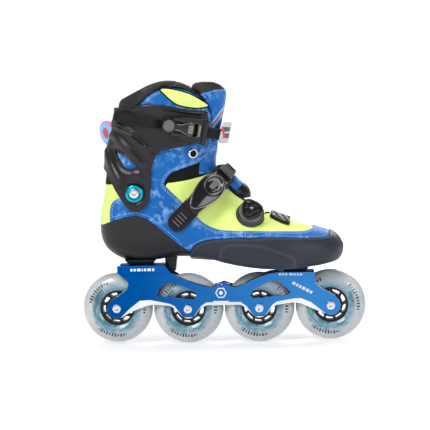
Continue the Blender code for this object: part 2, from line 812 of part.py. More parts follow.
def fixed_outline(front_deg, bottom):
    """Side view of what stays with the shell: up to a line from the pivot, with a disc round the pivot."""
    disc = arc(PIVOT, PIVOT_DISC, HINGE_REAR_FIXED_DEG, front_deg, 8)
    return [radial(HINGE_REAR_FIXED_DEG, 70.0), *disc, radial(front_deg, 260.0), *bottom]


def moving_outline(front_deg, disc_gap=0.8):
    """Side view of what leans with the cuff: above a line from the pivot and behind its front edge."""
    disc = arc(PIVOT, PIVOT_DISC + disc_gap, front_deg, HINGE_REAR_MOVING_DEG, 8)
    foot = (-13.0, PIVOT[1] + (-13.0 - PIVOT[0]) * math.tan(math.radians(front_deg)))
    return [*COLLAR_FRONT, foot, *disc, radial(HINGE_REAR_MOVING_DEG, 75.0), (-150.0, 240.0), *COLLAR_TOP]


def throat():
    """The opening down the instep that the tongue fills."""
    instep = [
        (52.0, 160.0),
        (40.0, 138.0),
        (20.0, 148.0),
        (0.0, 164.0),
        (-16.0, 180.0),
        (-20.0, 215.0),
        (20.0, 225.0),
    ]
    return prism("throat", instep, -THROAT_HALF_WIDTH, THROAT_HALF_WIDTH)


def upper(openings, pivot_hole):
    edge = [(x, z + SEAM_GAP) for x, z in reversed(SHELL_EDGE)]
    bottom = [(150.0, SHELL_TRAY_Z + SEAM_GAP), (-20.0, SHELL_TRAY_Z + SEAM_GAP), *edge, (-150.0, 130.0)]
    outline = fixed_outline(QUARTER_FRONT_DEG, bottom)
    obj = shell_between("upper_quarter", UPPER_IN, 0.0, outline, BLUE_CLOTH)
    return cut(obj, openings, pivot_hole)


def liner(openings, pivot_hole):
    sole = [(s[0][0], s[0][1] - LINER_OUT + INSOLE_THICKNESS + 0.5) for s in SECTIONS[1:14]]
    bottom = [(150.0, 94.0), *sole, (-150.0, 110.0)]
    outline = fixed_outline(LINER_FRONT_DEG, bottom)
    obj = shell_between("liner", LINER_IN, LINER_OUT, outline, BLACK_CLOTH)
    return cut(obj, openings, pivot_hole)


def collar():
    shell_between("ankle_upper", UPPER_IN, 0.0, moving_outline(FLAP_FRONT_DEG), BLUE_CLOTH)
    shell_between("collar_padding", PADDING_IN, PADDING_OUT, moving_outline(PADDING_FRONT_DEG), BLACK_CLOTH)


def tongue():
    """The fixed tongue down the throat, and the top of the tongue, which leans with the cuff."""
    instep = [
        (49.0, 160.0),
        (39.3, 139.3),
        (20.5, 149.0),
        (0.5, 165.0),
        radial(QUARTER_FRONT_DEG, 80.0),
        radial(QUARTER_FRONT_DEG, 110.0),
    ]
    half = THROAT_HALF_WIDTH - SEAM_GAP
    shell_between("tongue_lower", TONGUE_IN, TONGUE_OUT, instep, BLUE_CLOTH, -half, half)
    front = [(x + 0.8, z) for x, z in reversed(COLLAR_FRONT)]
    side = [*front, (-14.0, 268.0), (-20.0, 284.0), (25.0, 284.0), (25.0, 216.0), (-1.5, 216.0), (-9.5, 201.5)]
    top = shell_between("tongue_top", TONGUE_TOP_IN, TONGUE_TOP_OUT, side, BLUE_CLOTH)
    corners = [*arc((20.0, 268.0), 13.5, 0, 80, 5), *arc((-20.0, 268.0), 13.5, 100, 180, 5)]
    face = [*corners, (-24.0, 212.0), (-17.0, 196.0), (17.0, 196.0), (24.0, 212.0)]
    across = Matrix(((0, 0, 1, 0), (1, 0, 0, 0), (0, 1, 0, 0), (0, 0, 0, 1)))
    boolean(top, plate("tongue_face", face, -60.0, 60.0, across), "INTERSECT")


def cuff(pivot_hole):
    """The hinged cuff, with a window on each side and a flat seat for each washer."""
    obj = shell_between("cuff", CUFF_IN, CUFF_OUT, CUFF_OUTLINE, BLACK_PLASTIC)
    for side in (-1, 1):
        low = pivot_reach(side) + WASHER_SEAT
        cut(obj, cylinder(f"washer_seat_{side}", 10.6, low, 80.0, pivot_place(side)))
    return cut(obj, prism("cuff_window", CUFF_WINDOW), pivot_hole)


def pivot_reach(side):
    """How far the skin is from the middle plane at the cuff's pivot."""
    return abs(seat_on_skin(*PIVOT, (1, 0, 0), side).translation.y / MM)


def pivot_place(side):
    """The middle of the pivot, with local Z pointing out on one side."""
    turn = Matrix.Rotation(-side * math.pi / 2, 4, "X")
    return Matrix.Translation((PIVOT[0] * MM, 0, PIVOT[1] * MM)) @ turn


def pivot_bolts():
    """On each side a turned bolt holds the cuff to the boot, over an anodised washer."""
    for side, name in ((-1, "lateral"), (1, "medial")):
        place = pivot_place(side)
        reach = pivot_reach(side)
        face = reach + WASHER_SEAT + 0.3
        washer_top = face + 2.0
        turned(
            f"cuff_washer_{name}",
            [(4.5, washer_top), (8.4, washer_top), (9.8, face), (4.5, face)],
            place,
            CYAN_METAL,
            steps=24,
        )
        head_low = washer_top + 0.3
        inside = reach + LINER_IN - 2.2
        bolt = turned(
            f"cuff_bolt_{name}",
            [
                (0.0, head_low + 1.8),
                (4.2, head_low + 1.8),
                (5.6, head_low),
                (3.8, head_low),
                (3.8, inside),
                (7.0, inside),
                (7.0, inside - 1.2),
                (0.0, inside - 1.2),
            ],
            place,
            STEEL,
            steps=20,
        )
        cut(bolt, cylinder(f"cuff_bolt_{name}_socket", 2.2, head_low, head_low + 4, place, segments=6))


def rear_badge():
    """A domed oval medallion on the back of the cuff."""
    place = Matrix.Translation((-117.5 * MM, 0, 231.0 * MM)) @ Matrix.Rotation(-math.pi / 2, 4, "Y")
    obj = plate("rear_badge", ellipse((0, 0), (12.6, 11.0), 20), -6.0, 10.5, place, BADGE_CYAN)
    bevel(obj, 4.5, 3)
    solid = as_mesh(obj, "rear_badge", BADGE_CYAN)
    return cut(solid, skin("badge_seat", CUFF_OUT + 0.4))


# ---------------------------------------------------------------- straps and buckles
class Girth:
    """The plane a strap lies in. Local X is the row's +Y, local Y is the plane's line and local Z crosses the strap.

    Angles in the plane run from its line towards +Y, so that 0 is the shin or instep and -90 the outer side.
    """

    def __init__(self, line, lift):
        (x, z), (along_x, along_z) = line
        self.centre = Vector((x, 0.0, z))
        self.along = Vector((along_x, 0.0, along_z)).normalized()
        side = Vector((0.0, 1.0, 0.0))
        self.place = Matrix((side, self.along, side.cross(self.along))).transposed().to_4x4()
        self.place.translation = self.centre * MM
        self.lift = np.array(lift)

    def on_skin(self, degrees):
        a = math.radians(degrees)
        heading = Vector((0.0, math.sin(a), 0.0)) + self.along * math.cos(a)
        away = TREE.ray_cast(self.centre, heading)[0] - self.centre
        return Vector((away.y, away.dot(self.along)))

    def point(self, offset, degrees):
        """A point of the plane outside the skin, and the outward direction there."""
        tangent = self.on_skin(degrees + 7.0) - self.on_skin(degrees - 7.0)
        outward = Vector((-tangent.y, tangent.x)).normalized()
        return self.on_skin(degrees) + outward * offset, outward

    def inner_face(self, degrees):
        return float(np.interp(degrees, self.lift[:, 0], self.lift[:, 1]))

    def path(self, offset, start_deg, end_deg, count=26):
        """Points at an offset from the strap's inner face."""
        angles = np.linspace(start_deg, end_deg, count + 1)
        return [tuple(self.point(offset + self.inner_face(a), a)[0]) for a in angles]

    def band(self, name, inner, outer, angles, half_width, look=None):
        outline = self.path(outer, *angles) + self.path(inner, *angles)[::-1]
        return plate(name, outline, -half_width, half_width, self.place, look)

    def strap(self, name, half_width):
        angles = (self.lift[0, 0], self.lift[-1, 0])
        return self.band(name, 0.0, STRAP_THICKNESS, angles, half_width, BLACK_PLASTIC)

    def seat(self, degrees):
        """A place on the skin whose X axis follows the strap forwards and whose Z axis points out."""
        point, outward = self.point(0.0, degrees)
        frame = self.place.to_3x3()
        normal = frame @ Vector((outward.x, outward.y, 0.0))
        across = frame @ Vector((0.0, 0.0, -1.0))
        forwards = across.cross(normal)
        place = Matrix((forwards, across, normal)).transposed().to_4x4()
        place.translation = self.place @ Vector((point.x * MM, point.y * MM, 0.0))
        return place


def side_band(start, end, half_width):
    """A strip in side view with a round start and a square end."""
    a, b = Vector(start), Vector(end)
    direction = (b - a).normalized()
    across = Vector((-direction.y, direction.x)) * half_width
    heading = math.degrees(math.atan2(direction.y, direction.x))
    nose = arc(start, half_width, heading + 90, heading + 270, 8)
    return [*nose, tuple(b - across), tuple(b + across)]


def ankle_strap(girth):
    """A toothed strap from the back of the cuff through the buckle and round the shin to the inner side."""
    girth.strap("ankle_strap", ANKLE_STRAP_HALF_WIDTH)
    outline = [(-5.5, 218.0), (30.0, 218.0), (30.0, 240.5), (-3.0, 240.5)]
    shell_between("shin_pad", SHIN_PAD_IN, SHIN_PAD_OUT, outline, WHITE_RUBBER)


def instep_straps(girth):
    """A fixed strap low on the outer side, and a toothed one over the instep to the inner side."""
    outline = side_band((-46.0, 133.6), (-22.0, 157.0), 10.0)
    inner, outer = INSTEP_BASE_IN, INSTEP_BASE_OUT
    shell_between("instep_strap_base", inner, outer, outline, BLACK_PLASTIC, high_y=0.0)
    girth.strap("instep_strap", INSTEP_STRAP_HALF_WIDTH)


class Buckle:
    """A ratchet buckle: a base that the toothed strap runs through, a lever, its pin and a sprung release pawl.

    Local X follows the strap forwards, Y crosses it and Z leaves the boot. Heights are measured from the skin.
    """

    def __init__(self, prefix, girth, degrees, underside, half_width, pin_x, pawl_x):
        self.prefix = prefix
        self.girth = girth
        self.degrees = degrees
        self.place = girth.seat(degrees)
        self.underside = underside
        self.half_width = half_width
        self.wall = 2.6
        self.pin_x, self.pawl_x = pin_x, pawl_x
        self.pin_z = girth.inner_face(degrees) + STRAP_THICKNESS + KNUCKLE_RADIUS + 1.0

    def rod(self, name, radius, x, low, high, look=None, segments=12):
        """A cylinder across the buckle, at the height of its pins."""
        lie = Matrix.Translation((x * MM, 0, self.pin_z * MM)) @ Matrix.Rotation(math.pi / 2, 4, "X")
        return cylinder(name, radius, low, high, self.place @ lie, look, segments)

    def base(self, outline):
        """Two cheeks and a floor under the strap."""
        name = f"{self.prefix}_buckle_base"
        obj = plate(name, outline, -25.0, self.pin_z + 2.4, self.place, BLACK_GLOSS)
        cut(obj, skin(name + "_under", self.underside))
        around = (self.degrees - 75.0, self.degrees + 75.0)
        channel = self.girth.band(name + "_channel", -0.6, 60.0, around, self.half_width + 0.5)
        pin_hole = self.rod(name + "_pin_hole", PIN_RADIUS + 0.3, self.pin_x, -40, 40)
        pawl_hole = self.rod(name + "_pawl_hole", PIN_RADIUS + 0.3, self.pawl_x, -40, 40)
        return cut(obj, channel, pin_hole, pawl_hole)

    def pin(self):
        reach = self.half_width + self.wall
        return self.rod(f"{self.prefix}_buckle_pin", PIN_RADIUS, self.pin_x, -reach, reach, STEEL)

    def lever(self, grip, thickness):
        """A grip plate above the cheeks, with a knuckle between them round the pin."""
        name = f"{self.prefix}_buckle_lever"
        low = self.pin_z + 2.9
        obj = plate(name, grip, low, low + thickness, self.place, BLACK_GLOSS)
        half = self.half_width - 0.2
        knuckle = self.rod(name + "_knuckle", KNUCKLE_RADIUS, self.pin_x, -half, half, segments=14)
        neck_low = (self.pin_x - 2.4, -half, self.pin_z)
        neck = box(name + "_neck", neck_low, (self.pin_x + 1.6, half, low + 0.5), place=self.place)
        joined(obj, knuckle, neck)
        return cut(obj, self.rod(name + "_bore", PIN_RADIUS + PIN_CLEARANCE, self.pin_x, -40, 40))

    def pawl(self, reach):
        """The release pawl: its own stub pins, and a tab to lift."""
        name = f"{self.prefix}_buckle_pawl"
        z = self.pin_z
        tab = [(self.pawl_x - 1.2, z - 2.0), (self.pawl_x + reach, z - 0.8), (self.pawl_x + reach, z + 0.9)]
        side = plate(name, [*tab, (self.pawl_x, z + 2.0)], 0.4 - self.half_width, self.half_width - 0.4, self.place)
        side.matrix_world = self.place @ Matrix.Rotation(math.pi / 2, 4, "X")
        made = as_mesh(side, name, STEEL)
        ends = self.half_width + self.wall - 0.2
        return joined(made, self.rod(name + "_stub", PIN_RADIUS, self.pawl_x, -ends, ends))


def ankle_buckle(girth):
    half = ANKLE_STRAP_HALF_WIDTH + 0.6
    buckle = Buckle("ankle", girth, ANKLE_BUCKLE_ANGLE, CUFF_OUT + 0.4, half, 6.0, 15.0)
    buckle.base([(-14.0, -9.4), (22.0, -10.6), (24.0, -8.6), (24.0, 8.6), (22.0, 10.6), (-14.0, 9.4)])
    buckle.pin()
    pad = arc((-18.0, 0.0), 7.4, 50, 310, 12)
    buckle.lever([(9.5, -5.0), (9.5, 5.0), (0.0, 5.6), (-8.0, 4.6), *pad, (-8.0, -4.6), (0.0, -5.6)], 2.2)
    buckle.pawl(7.5)


def instep_buckle(girth):
    half = INSTEP_STRAP_HALF_WIDTH + 0.6
    buckle = Buckle("instep", girth, INSTEP_BUCKLE_ANGLE, INSTEP_BASE_OUT + 0.4, half, 13.0, 21.0)
    near = [(-12.0, -12.2), (20.0, -12.2), (24.0, -9.5)]
    far = [(24.0, 9.5), (20.0, 12.2), (-12.0, 12.2)]
    buckle.base([(-31.0, -9.0), *near, *far, (-31.0, 9.0)])
    buckle.pin()
    buckle.lever(ellipse((-9.5, 0.0), (26.0, 13.0), 20), 2.6)
    buckle.pawl(6.0)


# ---------------------------------------------------------------- lacing
# The cover's crown from the shin down: x, z, its half-width there, and how far its edges drop below the crown.
COVER_CROWN = [
    (2.5, 194.0, 17.0, 8.5),
    (7.0, 189.8, 17.5, 9.5),
    (13.0, 183.5, 18.0, 10.5),
    (19.5, 176.5, 18.0, 11.5),
    (26.0, 170.5, 18.0, 12.0),
    (29.8, 164.0, 16.5, 12.0),
    (30.6, 157.5, 13.0, 9.0),
]


def instep_cover():
    """An arched shield over the laces, whose lower end stands off like a hood."""
    columns = 8
    crown = [Vector((x, 0.0, z)) for x, z, _, _ in COVER_CROWN]
    bm = bmesh.new()
    rows = []
    for k, (_, _, half_width, drop) in enumerate(COVER_CROWN):
        run = crown[min(k + 1, len(crown) - 1)] - crown[max(k - 1, 0)]
        inward = Vector((run.z, 0.0, -run.x)).normalized()
        row = []
        for c in range(columns + 1):
            a = math.radians(80.0 * (2 * c / columns - 1))
            offset = inward * (drop * (1 - math.cos(a))) + Vector((0, half_width * math.sin(a), 0))
            row.append(bm.verts.new(crown[k] + offset))
        rows.append(row)
    for low, high in zip(rows, rows[1:]):
        for c in range(columns):
            bm.faces.new((low[c], low[c + 1], high[c + 1], high[c]))
    obj = add_object("cover_sheet", finish_bmesh("cover_sheet", bm), BLUE_CLOTH)
    solidify = obj.modifiers.new("thickness", "SOLIDIFY")
    solidify.thickness = 2.0 * MM
    solidify.offset = -1.0
    solid = as_mesh(obj, "instep_cover", BLUE_CLOTH)
    return cut(solid, skin("cover_seat", 0.8))


def dial_place():
    """Local Z is the dial's axis and local X points to the toe."""
    axis = Vector(DIAL_AXIS).normalized()
    side = axis.cross(Vector((1, 0, 0))).normalized()
    place = Matrix((side.cross(axis), side, axis)).transposed().to_4x4()
    place.translation = Vector(DIAL_BASE) * MM
    return place


def dial():
    """The lace dial: a cup on the vamp, a spool that turns in it and a knob that lifts to let go."""
    place = dial_place()
    housing = turned(
        "dial_housing",
        [
            (0.0, 1.6),
            (9.0, 1.6),
            (9.0, 6.0),
            (DIAL_RADIUS - 2.2, 6.0),
            (DIAL_RADIUS, 3.4),
            (DIAL_RADIUS, -9.0),
            (0.0, -9.0),
        ],
        place,
        BLACK_PLASTIC,
        steps=28,
    )
    cut(housing, skin("dial_seat", 0.5))
    turned(
        "dial_spool",
        [
            (0.0, 8.6),
            (2.4, 8.6),
            (2.4, 5.6),
            (SPOOL_RADIUS, 5.6),
            (SPOOL_RADIUS - 1.6, 3.8),
            (SPOOL_RADIUS, 2.0),
            (0.0, 2.0),
        ],
        place,
        STEEL,
        steps=18,
    )
    lobes = []
    for k in range(24):
        a = 2 * math.pi * k / 24
        r = KNOB_RADIUS - 1.1 + 1.1 * math.cos(3 * a)
        lobes.append((r * math.cos(a), r * math.sin(a)))
    knob = plate("dial_knob", lobes, 6.5, 14.0, place, BLACK_GLOSS)
    bevel(knob, 1.4, 2)
    knob = as_mesh(knob, "dial_knob", BLACK_GLOSS)
    return cut(knob, cylinder("knob_socket", 2.9, 5.0, 9.2, place, segments=18))


def lace_guide():
    """A ridged clip across the vamp that turns the cable back."""
    outline = [(51.5, 136.0), (53.0, 146.0), (74.0, 136.5), (71.5, 125.5)]
    obj = shell_between("lace_guide", 0.6, 4.4, outline, BLACK_GLOSS, low_y=-27.0, high_y=8.0)
    return obj


def lace_cable():
    """The cable from the dial's housing to the guide."""
    start = dial_place() @ Vector(((DIAL_RADIUS + 0.6) * MM, 0, 3.0 * MM)) / MM
    end = Vector((51.2, start.y + 5.0, 141.5))
    curve = bpy.data.curves.new("lace_cable", "CURVE")
    curve.dimensions = "3D"
    curve.bevel_depth = 0.9 * MM
    curve.bevel_resolution = 2
    curve.use_fill_caps = True
    spline = curve.splines.new("POLY")
    points = [start, start.lerp(end, 0.5) + Vector((0, -0.8, 0.8)), end]
    spline.points.add(len(points) - 1)
    for target, p in zip(spline.points, points):
        target.co = (p.x * MM, p.y * MM, p.z * MM, 1.0)
    obj = bpy.data.objects.new("lace_cable", curve)
    bpy.data.collections["inline_skate"].objects.link(obj)
    curve.materials.append(material_of("lace_cable", BLACK_CLOTH))
    return obj


def build():
    start_clean()
    for k in range(4):
        wheel(k + 1, AXLE_X[k], AXLE_Z[k])
    frame()
    mounting_bolt("heel_bolt", HEEL_BOLT_X, HEEL_PLATFORM_Z, 4.4)
    mounting_bolt("toe_bolt", TOE_BOLT_X, TOE_PLATFORM_Z, 2.9)
    boot_shell()
    toe_bumper()
    insole()
    openings = throat()
    hole = cylinder("pivot_hole", 4.3, -90.0, 90.0, across_y(*PIVOT), segments=20)
    upper(openings, hole)
    liner(openings, hole)
    collar()
    tongue()
    cuff(hole)
    pivot_bolts()
    rear_badge()
    ankle_girth = Girth(ANKLE_GIRTH, ANKLE_LIFT)
    ankle_strap(ankle_girth)
    ankle_buckle(ankle_girth)
    instep_girth = Girth(INSTEP_GIRTH, INSTEP_LIFT)
    instep_straps(instep_girth)
    instep_buckle(instep_girth)
    instep_cover()
    dial()
    lace_guide()
    lace_cable()
    shift = Matrix.Translation((0, SIDEWAYS_SHIFT * MM, 0))
    for obj in bpy.data.objects:
        obj.matrix_world = shift @ obj.matrix_world


build()
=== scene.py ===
"""The looks of the inline skate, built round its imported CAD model.

Sizes and places are in millimetres round the wheels' middle plane, as a builder of the boot would draw
them, and meshes are made in metres. The boot's layers all follow one smooth lofted skin: each is the part
of the skin inside an outline, drawn in side view, and lies between two offsets of the skin.
"""

import json
import math

import bpy
import numpy as np
from mathutils import Matrix, Vector
from mathutils.bvhtree import BVHTree


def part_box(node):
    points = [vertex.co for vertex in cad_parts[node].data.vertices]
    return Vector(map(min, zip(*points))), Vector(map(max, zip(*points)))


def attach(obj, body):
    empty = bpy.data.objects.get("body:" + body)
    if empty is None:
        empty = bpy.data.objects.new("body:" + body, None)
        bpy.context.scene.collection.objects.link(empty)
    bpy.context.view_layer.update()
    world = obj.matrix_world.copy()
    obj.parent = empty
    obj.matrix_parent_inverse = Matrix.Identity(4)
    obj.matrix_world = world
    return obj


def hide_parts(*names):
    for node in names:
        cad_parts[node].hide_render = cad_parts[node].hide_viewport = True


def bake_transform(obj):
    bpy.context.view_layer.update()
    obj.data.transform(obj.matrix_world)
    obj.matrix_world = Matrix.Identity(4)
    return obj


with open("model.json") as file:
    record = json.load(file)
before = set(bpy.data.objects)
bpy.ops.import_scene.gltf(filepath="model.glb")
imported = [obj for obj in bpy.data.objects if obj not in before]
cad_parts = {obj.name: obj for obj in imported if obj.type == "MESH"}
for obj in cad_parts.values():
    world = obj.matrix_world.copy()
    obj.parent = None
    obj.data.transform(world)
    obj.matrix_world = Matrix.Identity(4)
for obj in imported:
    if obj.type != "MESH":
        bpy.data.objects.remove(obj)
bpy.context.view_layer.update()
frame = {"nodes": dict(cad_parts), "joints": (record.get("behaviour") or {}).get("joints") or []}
JOINTS = {joint["name"]: joint for joint in frame["joints"]}

MM = 0.001
WHEELS = (1, 2, 3, 4)
SIDES = {"lateral": -1, "medial": 1}
SIDE = (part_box("tyre_2")[0].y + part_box("tyre_2")[1].y) / 2 / MM  # the wheels' middle plane

# ---------------------------------------------------------------- driving dimensions
# The skin's sections, from toe to shin: bottom point, top point, half-width, sideways shift, height of the
# widest place as a share, and how square the section is below and above it.
SECTIONS = [
    ((128.8, 100.2), (128.8, 101.4), 1.5, 8.2, 0.50, 2.2, 2.2),
    ((127.6, 95.5), (127.9, 106.0), 14.0, 8.0, 0.50, 2.2, 2.2),
    ((123.0, 89.3), (121.5, 115.0), 28.0, 7.5, 0.48, 2.6, 2.2),
    ((112.0, 86.3), (110.0, 120.5), 38.5, 6.0, 0.44, 3.0, 2.3),
    ((94.0, 83.4), (92.0, 125.5), 45.5, 3.5, 0.40, 3.2, 2.3),
    ((72.0, 81.9), (73.0, 131.0), 49.5, 1.0, 0.36, 3.2, 2.2),
    ((48.0, 82.3), (52.0, 139.0), 51.0, -1.0, 0.33, 3.1, 2.1),
    ((24.0, 84.6), (32.0, 151.0), 48.5, -1.5, 0.32, 2.9, 2.1),
    ((0.0, 88.4), (14.0, 164.5), 44.5, -1.0, 0.34, 2.7, 2.2),
    ((-24.0, 92.8), (1.0, 179.0), 41.0, 0.0, 0.38, 2.6, 2.3),
    ((-50.0, 94.2), (-5.0, 192.0), 38.5, 0.0, 0.42, 2.7, 2.4),
    ((-74.0, 91.2), (-5.0, 201.0), 37.5, 0.0, 0.45, 2.8, 2.4),
    ((-96.0, 90.4), (-4.0, 208.0), 36.5, 0.0, 0.46, 2.7, 2.4),
    ((-112.0, 94.6), (-3.5, 213.0), 37.0, 0.0, 0.46, 2.4, 2.4),
    ((-124.0, 103.0), (-3.0, 218.0), 37.5, 0.0, 0.45, 2.3, 2.4),
    ((-130.5, 114.0), (-2.0, 223.0), 38.0, 0.0, 0.44, 2.3, 2.4),
    ((-132.3, 127.0), (-1.0, 228.0), 39.0, 0.0, 0.43, 2.3, 2.4),
    ((-131.3, 141.0), (0.0, 233.0), 40.0, 0.0, 0.42, 2.3, 2.4),
    ((-128.5, 156.0), (1.5, 239.0), 41.5, 0.0, 0.42, 2.3, 2.4),
    ((-125.5, 172.0), (3.0, 246.0), 42.5, 0.0, 0.42, 2.3, 2.4),
    ((-123.0, 190.0), (4.5, 253.0), 43.0, 0.0, 0.43, 2.3, 2.4),
    ((-120.0, 209.0), (6.0, 261.0), 44.0, 0.0, 0.44, 2.3, 2.4),
    ((-115.5, 230.0), (7.0, 269.0), 45.5, 0.0, 0.45, 2.3, 2.4),
    ((-110.5, 250.0), (6.5, 278.0), 47.5, 0.0, 0.46, 2.3, 2.4),
    ((-104.0, 279.0), (2.0, 297.0), 49.0, 0.0, 0.47, 2.3, 2.4),
]
SECTION_STEPS = 8
RING_POINTS = 168
PIVOT = (-91.0, 165.0)  # the cuff's hinge, in x and z
HINGE_DEG = 19.0  # the line from the pivot to the flexible slot

# Side-view lines on the boot
SHELL_EDGE = [
    (-140.0, 130.0), (-127.5, 132.0), (-117.8, 136.1), (-107.1, 139.6), (-91.0, 142.5), (-77.2, 138.0),
    (-62.6, 125.5), (-45.9, 111.4), (-33.3, 102.0),
]
BUMPER_EDGE = [
    (-34.5, 101.0), (-28.6, 107.7), (-22.2, 111.3), (-6.2, 114.7), (25.0, 115.4), (52.0, 115.3),
    (85.0, 113.6), (110.0, 113.2), (114.5, 115.5), (116.0, 124.0),
]
LIME_EDGE = [
    (104.5, 130.0), (98.6, 124.0), (92.2, 121.3), (83.8, 120.6), (62.7, 121.5), (41.6, 122.4),
    (20.5, 123.3), (4.6, 124.1), (-6.0, 125.9), (-13.3, 129.2), (-21.7, 135.2), (-42.4, 155.7),
    (-57.8, 171.2),
]
SLOT_LOW = [
    (-57.8, 171.2), (-58.6, 175.5), (-54.5, 175.2), (-42.4, 176.6), (-31.8, 178.4), (-20.0, 181.5),
    (-5.0, 186.0),
]
SLOT_HIGH = [
    (-56.8, 176.5), (-57.3, 179.6), (-54.8, 182.8), (-50.4, 186.5), (-41.9, 189.5), (-31.2, 193.0),
    (-23.7, 195.7), (-17.3, 199.6), (-12.2, 206.3), (-9.9, 214.7), (-9.2, 222.0), (-9.5, 240.0),
]
COLLAR_LOW = [
    (-9.6, 246.0), (-11.6, 253.0), (-15.6, 260.2), (-23.0, 267.2), (-34.9, 272.8), (-48.6, 275.4),
    (-61.3, 273.6), (-70.5, 269.6), (-78.0, 263.5), (-86.0, 256.0), (-98.0, 247.0), (-118.0, 240.0),
    (-150.0, 238.0),
]
COLLAR_TOP = [
    (-150.0, 247.0), (-124.0, 247.0), (-113.0, 256.5), (-107.0, 265.0), (-97.0, 269.6), (-86.0, 274.2),
    (-69.8, 280.4), (-53.5, 283.0), (-37.3, 280.4), (-24.0, 272.5), (-14.5, 262.5), (-9.0, 252.0),
    (-8.2, 240.0),
]
HEEL_LIME_EDGE = [
    (-118.9, 128.0), (-118.9, 137.0), (-118.4, 148.0), (-115.2, 155.8), (-108.5, 159.6), (-101.0, 163.0)
]
CUFF_BACK = [
    (-140.0, 256.5), (-111.0, 256.5), (-98.0, 254.8), (-84.5, 257.9), (-74.9, 259.3), (-61.2, 258.3)
]
CUFF_TOP = [*CUFF_BACK, (-50.7, 256.7), (-40.2, 254.4), (-29.6, 252.6), (-16.5, 251.3)]
CUFF_FRONT = [(-14.4, 250.4), (-13.6, 248.0), (-13.0, 236.0), (-13.2, 224.5), (-14.0, 222.0)]
CUFF_LOW = [
    (-16.2, 220.6), (-30.4, 217.0), (-46.4, 212.9), (-57.0, 210.8), (-63.5, 208.4), (-69.0, 201.5),
    (-72.3, 191.8), (-73.6, 181.2), (-74.0, 168.5), (-75.4, 159.5), (-78.6, 152.2), (-84.3, 146.9),
    (-90.0, 145.5), (-95.5, 147.2), (-100.4, 152.0), (-105.9, 160.6), (-111.0, 170.3), (-116.5, 181.5),
    (-122.5, 190.0), (-140.0, 191.0),
]
CUFF_WINDOW = [
    (-110.0, 211.0), (-100.6, 206.1), (-86.0, 193.1), (-94.6, 190.6), (-100.0, 192.5), (-107.0, 204.1)
]
CUFF_CREASES = [
    ([(-110.0, 240.0), (-93.6, 232.3), (-69.8, 208.6)], 2.0),
    ([(-112.0, 232.0), (-104.4, 224.1), (-76.5, 191.8)], 1.9),
    ([(-121.0, 216.0), (-113.0, 196.0), (-102.0, 174.0)], 1.7),
    ([(-86.0, 190.0), (-80.0, 180.0), (-79.0, 168.0)], 1.1),
]
COLLAR_PANEL = [
    (-61.0, 275.0), (-48.3, 274.7), (-29.4, 269.0), (-15.8, 260.8), (-11.9, 256.2), (-24.4, 254.1),
    (-43.4, 258.2), (-56.0, 268.6),
]
BADGE_TURN_DEG = 44.0  # the badge faces backwards, and this far to the outer side
THROAT_HALF = 17.0
SOLE_RISE = 6.9  # the sole line over the skin's lowest points
UPPER_IN = -2.2  # inner face of the upper's layers, as an offset from the skin
WASHER_SEAT = 3.6  # height of the flat round the cuff's hinge over the skin
TOOTH_PITCH = 2.8
SPOKES = 9
BORDER_ROW = 29  # the row of the visor where its border starts
KNUCKLE_RADIUS = 2.7
DIAL_BASE = (31.5, -37.5, 140.5)
FRAME_FACE, FLANGE_FACE = 16.0, 17.8  # how far the chassis's printed faces are from its middle
RAY_START = 200.0  # well outside the boot
PUFF_FRAMES = 16
STITCH_LENGTH, STITCH_GAP, STITCH_RADIUS = 1.7, 1.0, 0.30


# ---------------------------------------------------------------- curves and fields in side view
def through(rows, steps=6, closed=False):
    """A smooth run of points through the given ones."""
    rows = np.asarray(rows, float)
    if closed:
        padded = np.concatenate([rows[-1:], rows, rows[:2]])
    else:
        padded = np.concatenate([2 * rows[:1] - rows[1:2], rows, 2 * rows[-1:] - rows[-2:-1]])
    t = np.linspace(0.0, 1.0, steps, endpoint=False)[:, None]
    made = []
    for k in range(len(padded) - 3):
        a, b, c, d = padded[k : k + 4]
        made.append(b + 0.5 * t * (c - a + t * (2 * a - 5 * b + 4 * c - d + t * (3 * (b - c) + d - a))))
    if not closed:
        made.append(rows[-1:])
    return np.concatenate(made)


def joined(*runs):
    return np.concatenate([np.asarray(run, float) for run in runs])


def ellipse(centre, radii, turn_deg=0.0, count=32):
    a = np.linspace(0, 2 * math.pi, count, endpoint=False)
    x, y = radii[0] * np.cos(a), radii[1] * np.sin(a)
    c, s = math.cos(math.radians(turn_deg)), math.sin(math.radians(turn_deg))
    return np.column_stack([centre[0] + x * c - y * s, centre[1] + x * s + y * c])


def length_along(points):
    """The length from the start of a run to each of its points."""
    return np.concatenate([[0.0], np.cumsum(np.linalg.norm(np.diff(points, axis=0), axis=1))])


def resampled(rows, length, at):
    """Rows of data at given lengths along a run."""
    return np.column_stack([np.interp(at, length, column) for column in rows.T])


def arc(centre, radius, start_deg, end_deg, count=10):
    a = np.radians(np.linspace(start_deg, end_deg, count + 1))
    return np.column_stack([centre[0] + radius * np.cos(a), centre[1] + radius * np.sin(a)])


def to_line(points, line):
    """The distance of 2D points to a polyline."""
    near = np.full(len(points), 1e9)
    for a, b in zip(line[:-1], line[1:]):
        run = b - a
        share = np.clip((points - a) @ run / max(run @ run, 1e-12), 0.0, 1.0)
        near = np.minimum(near, np.linalg.norm(points - a - share[:, None] * run, axis=1))
    return near


def within(points, outline):
    """Which 2D points lie inside a closed outline."""
    inside = np.zeros(len(points), bool)
    x, z = points.T
    for (x1, z1), (x2, z2) in zip(outline, np.roll(outline, -1, axis=0)):
        crosses = (z1 > z) != (z2 > z)
        if z1 != z2:
            inside ^= crosses & (x < (x2 - x1) * (z - z1) / (z2 - z1) + x1)
    return inside


def area(outline, axes=(0, 2)):
    """A field over space: how far a point is inside an outline drawn in two of its axes."""
    outline = np.asarray(outline, float)
    closed = np.concatenate([outline, outline[:1]])

    def field(points):
        flat = points[:, list(axes)]
        return np.where(within(flat, outline), 1.0, -1.0) * to_line(flat, closed)

    return field


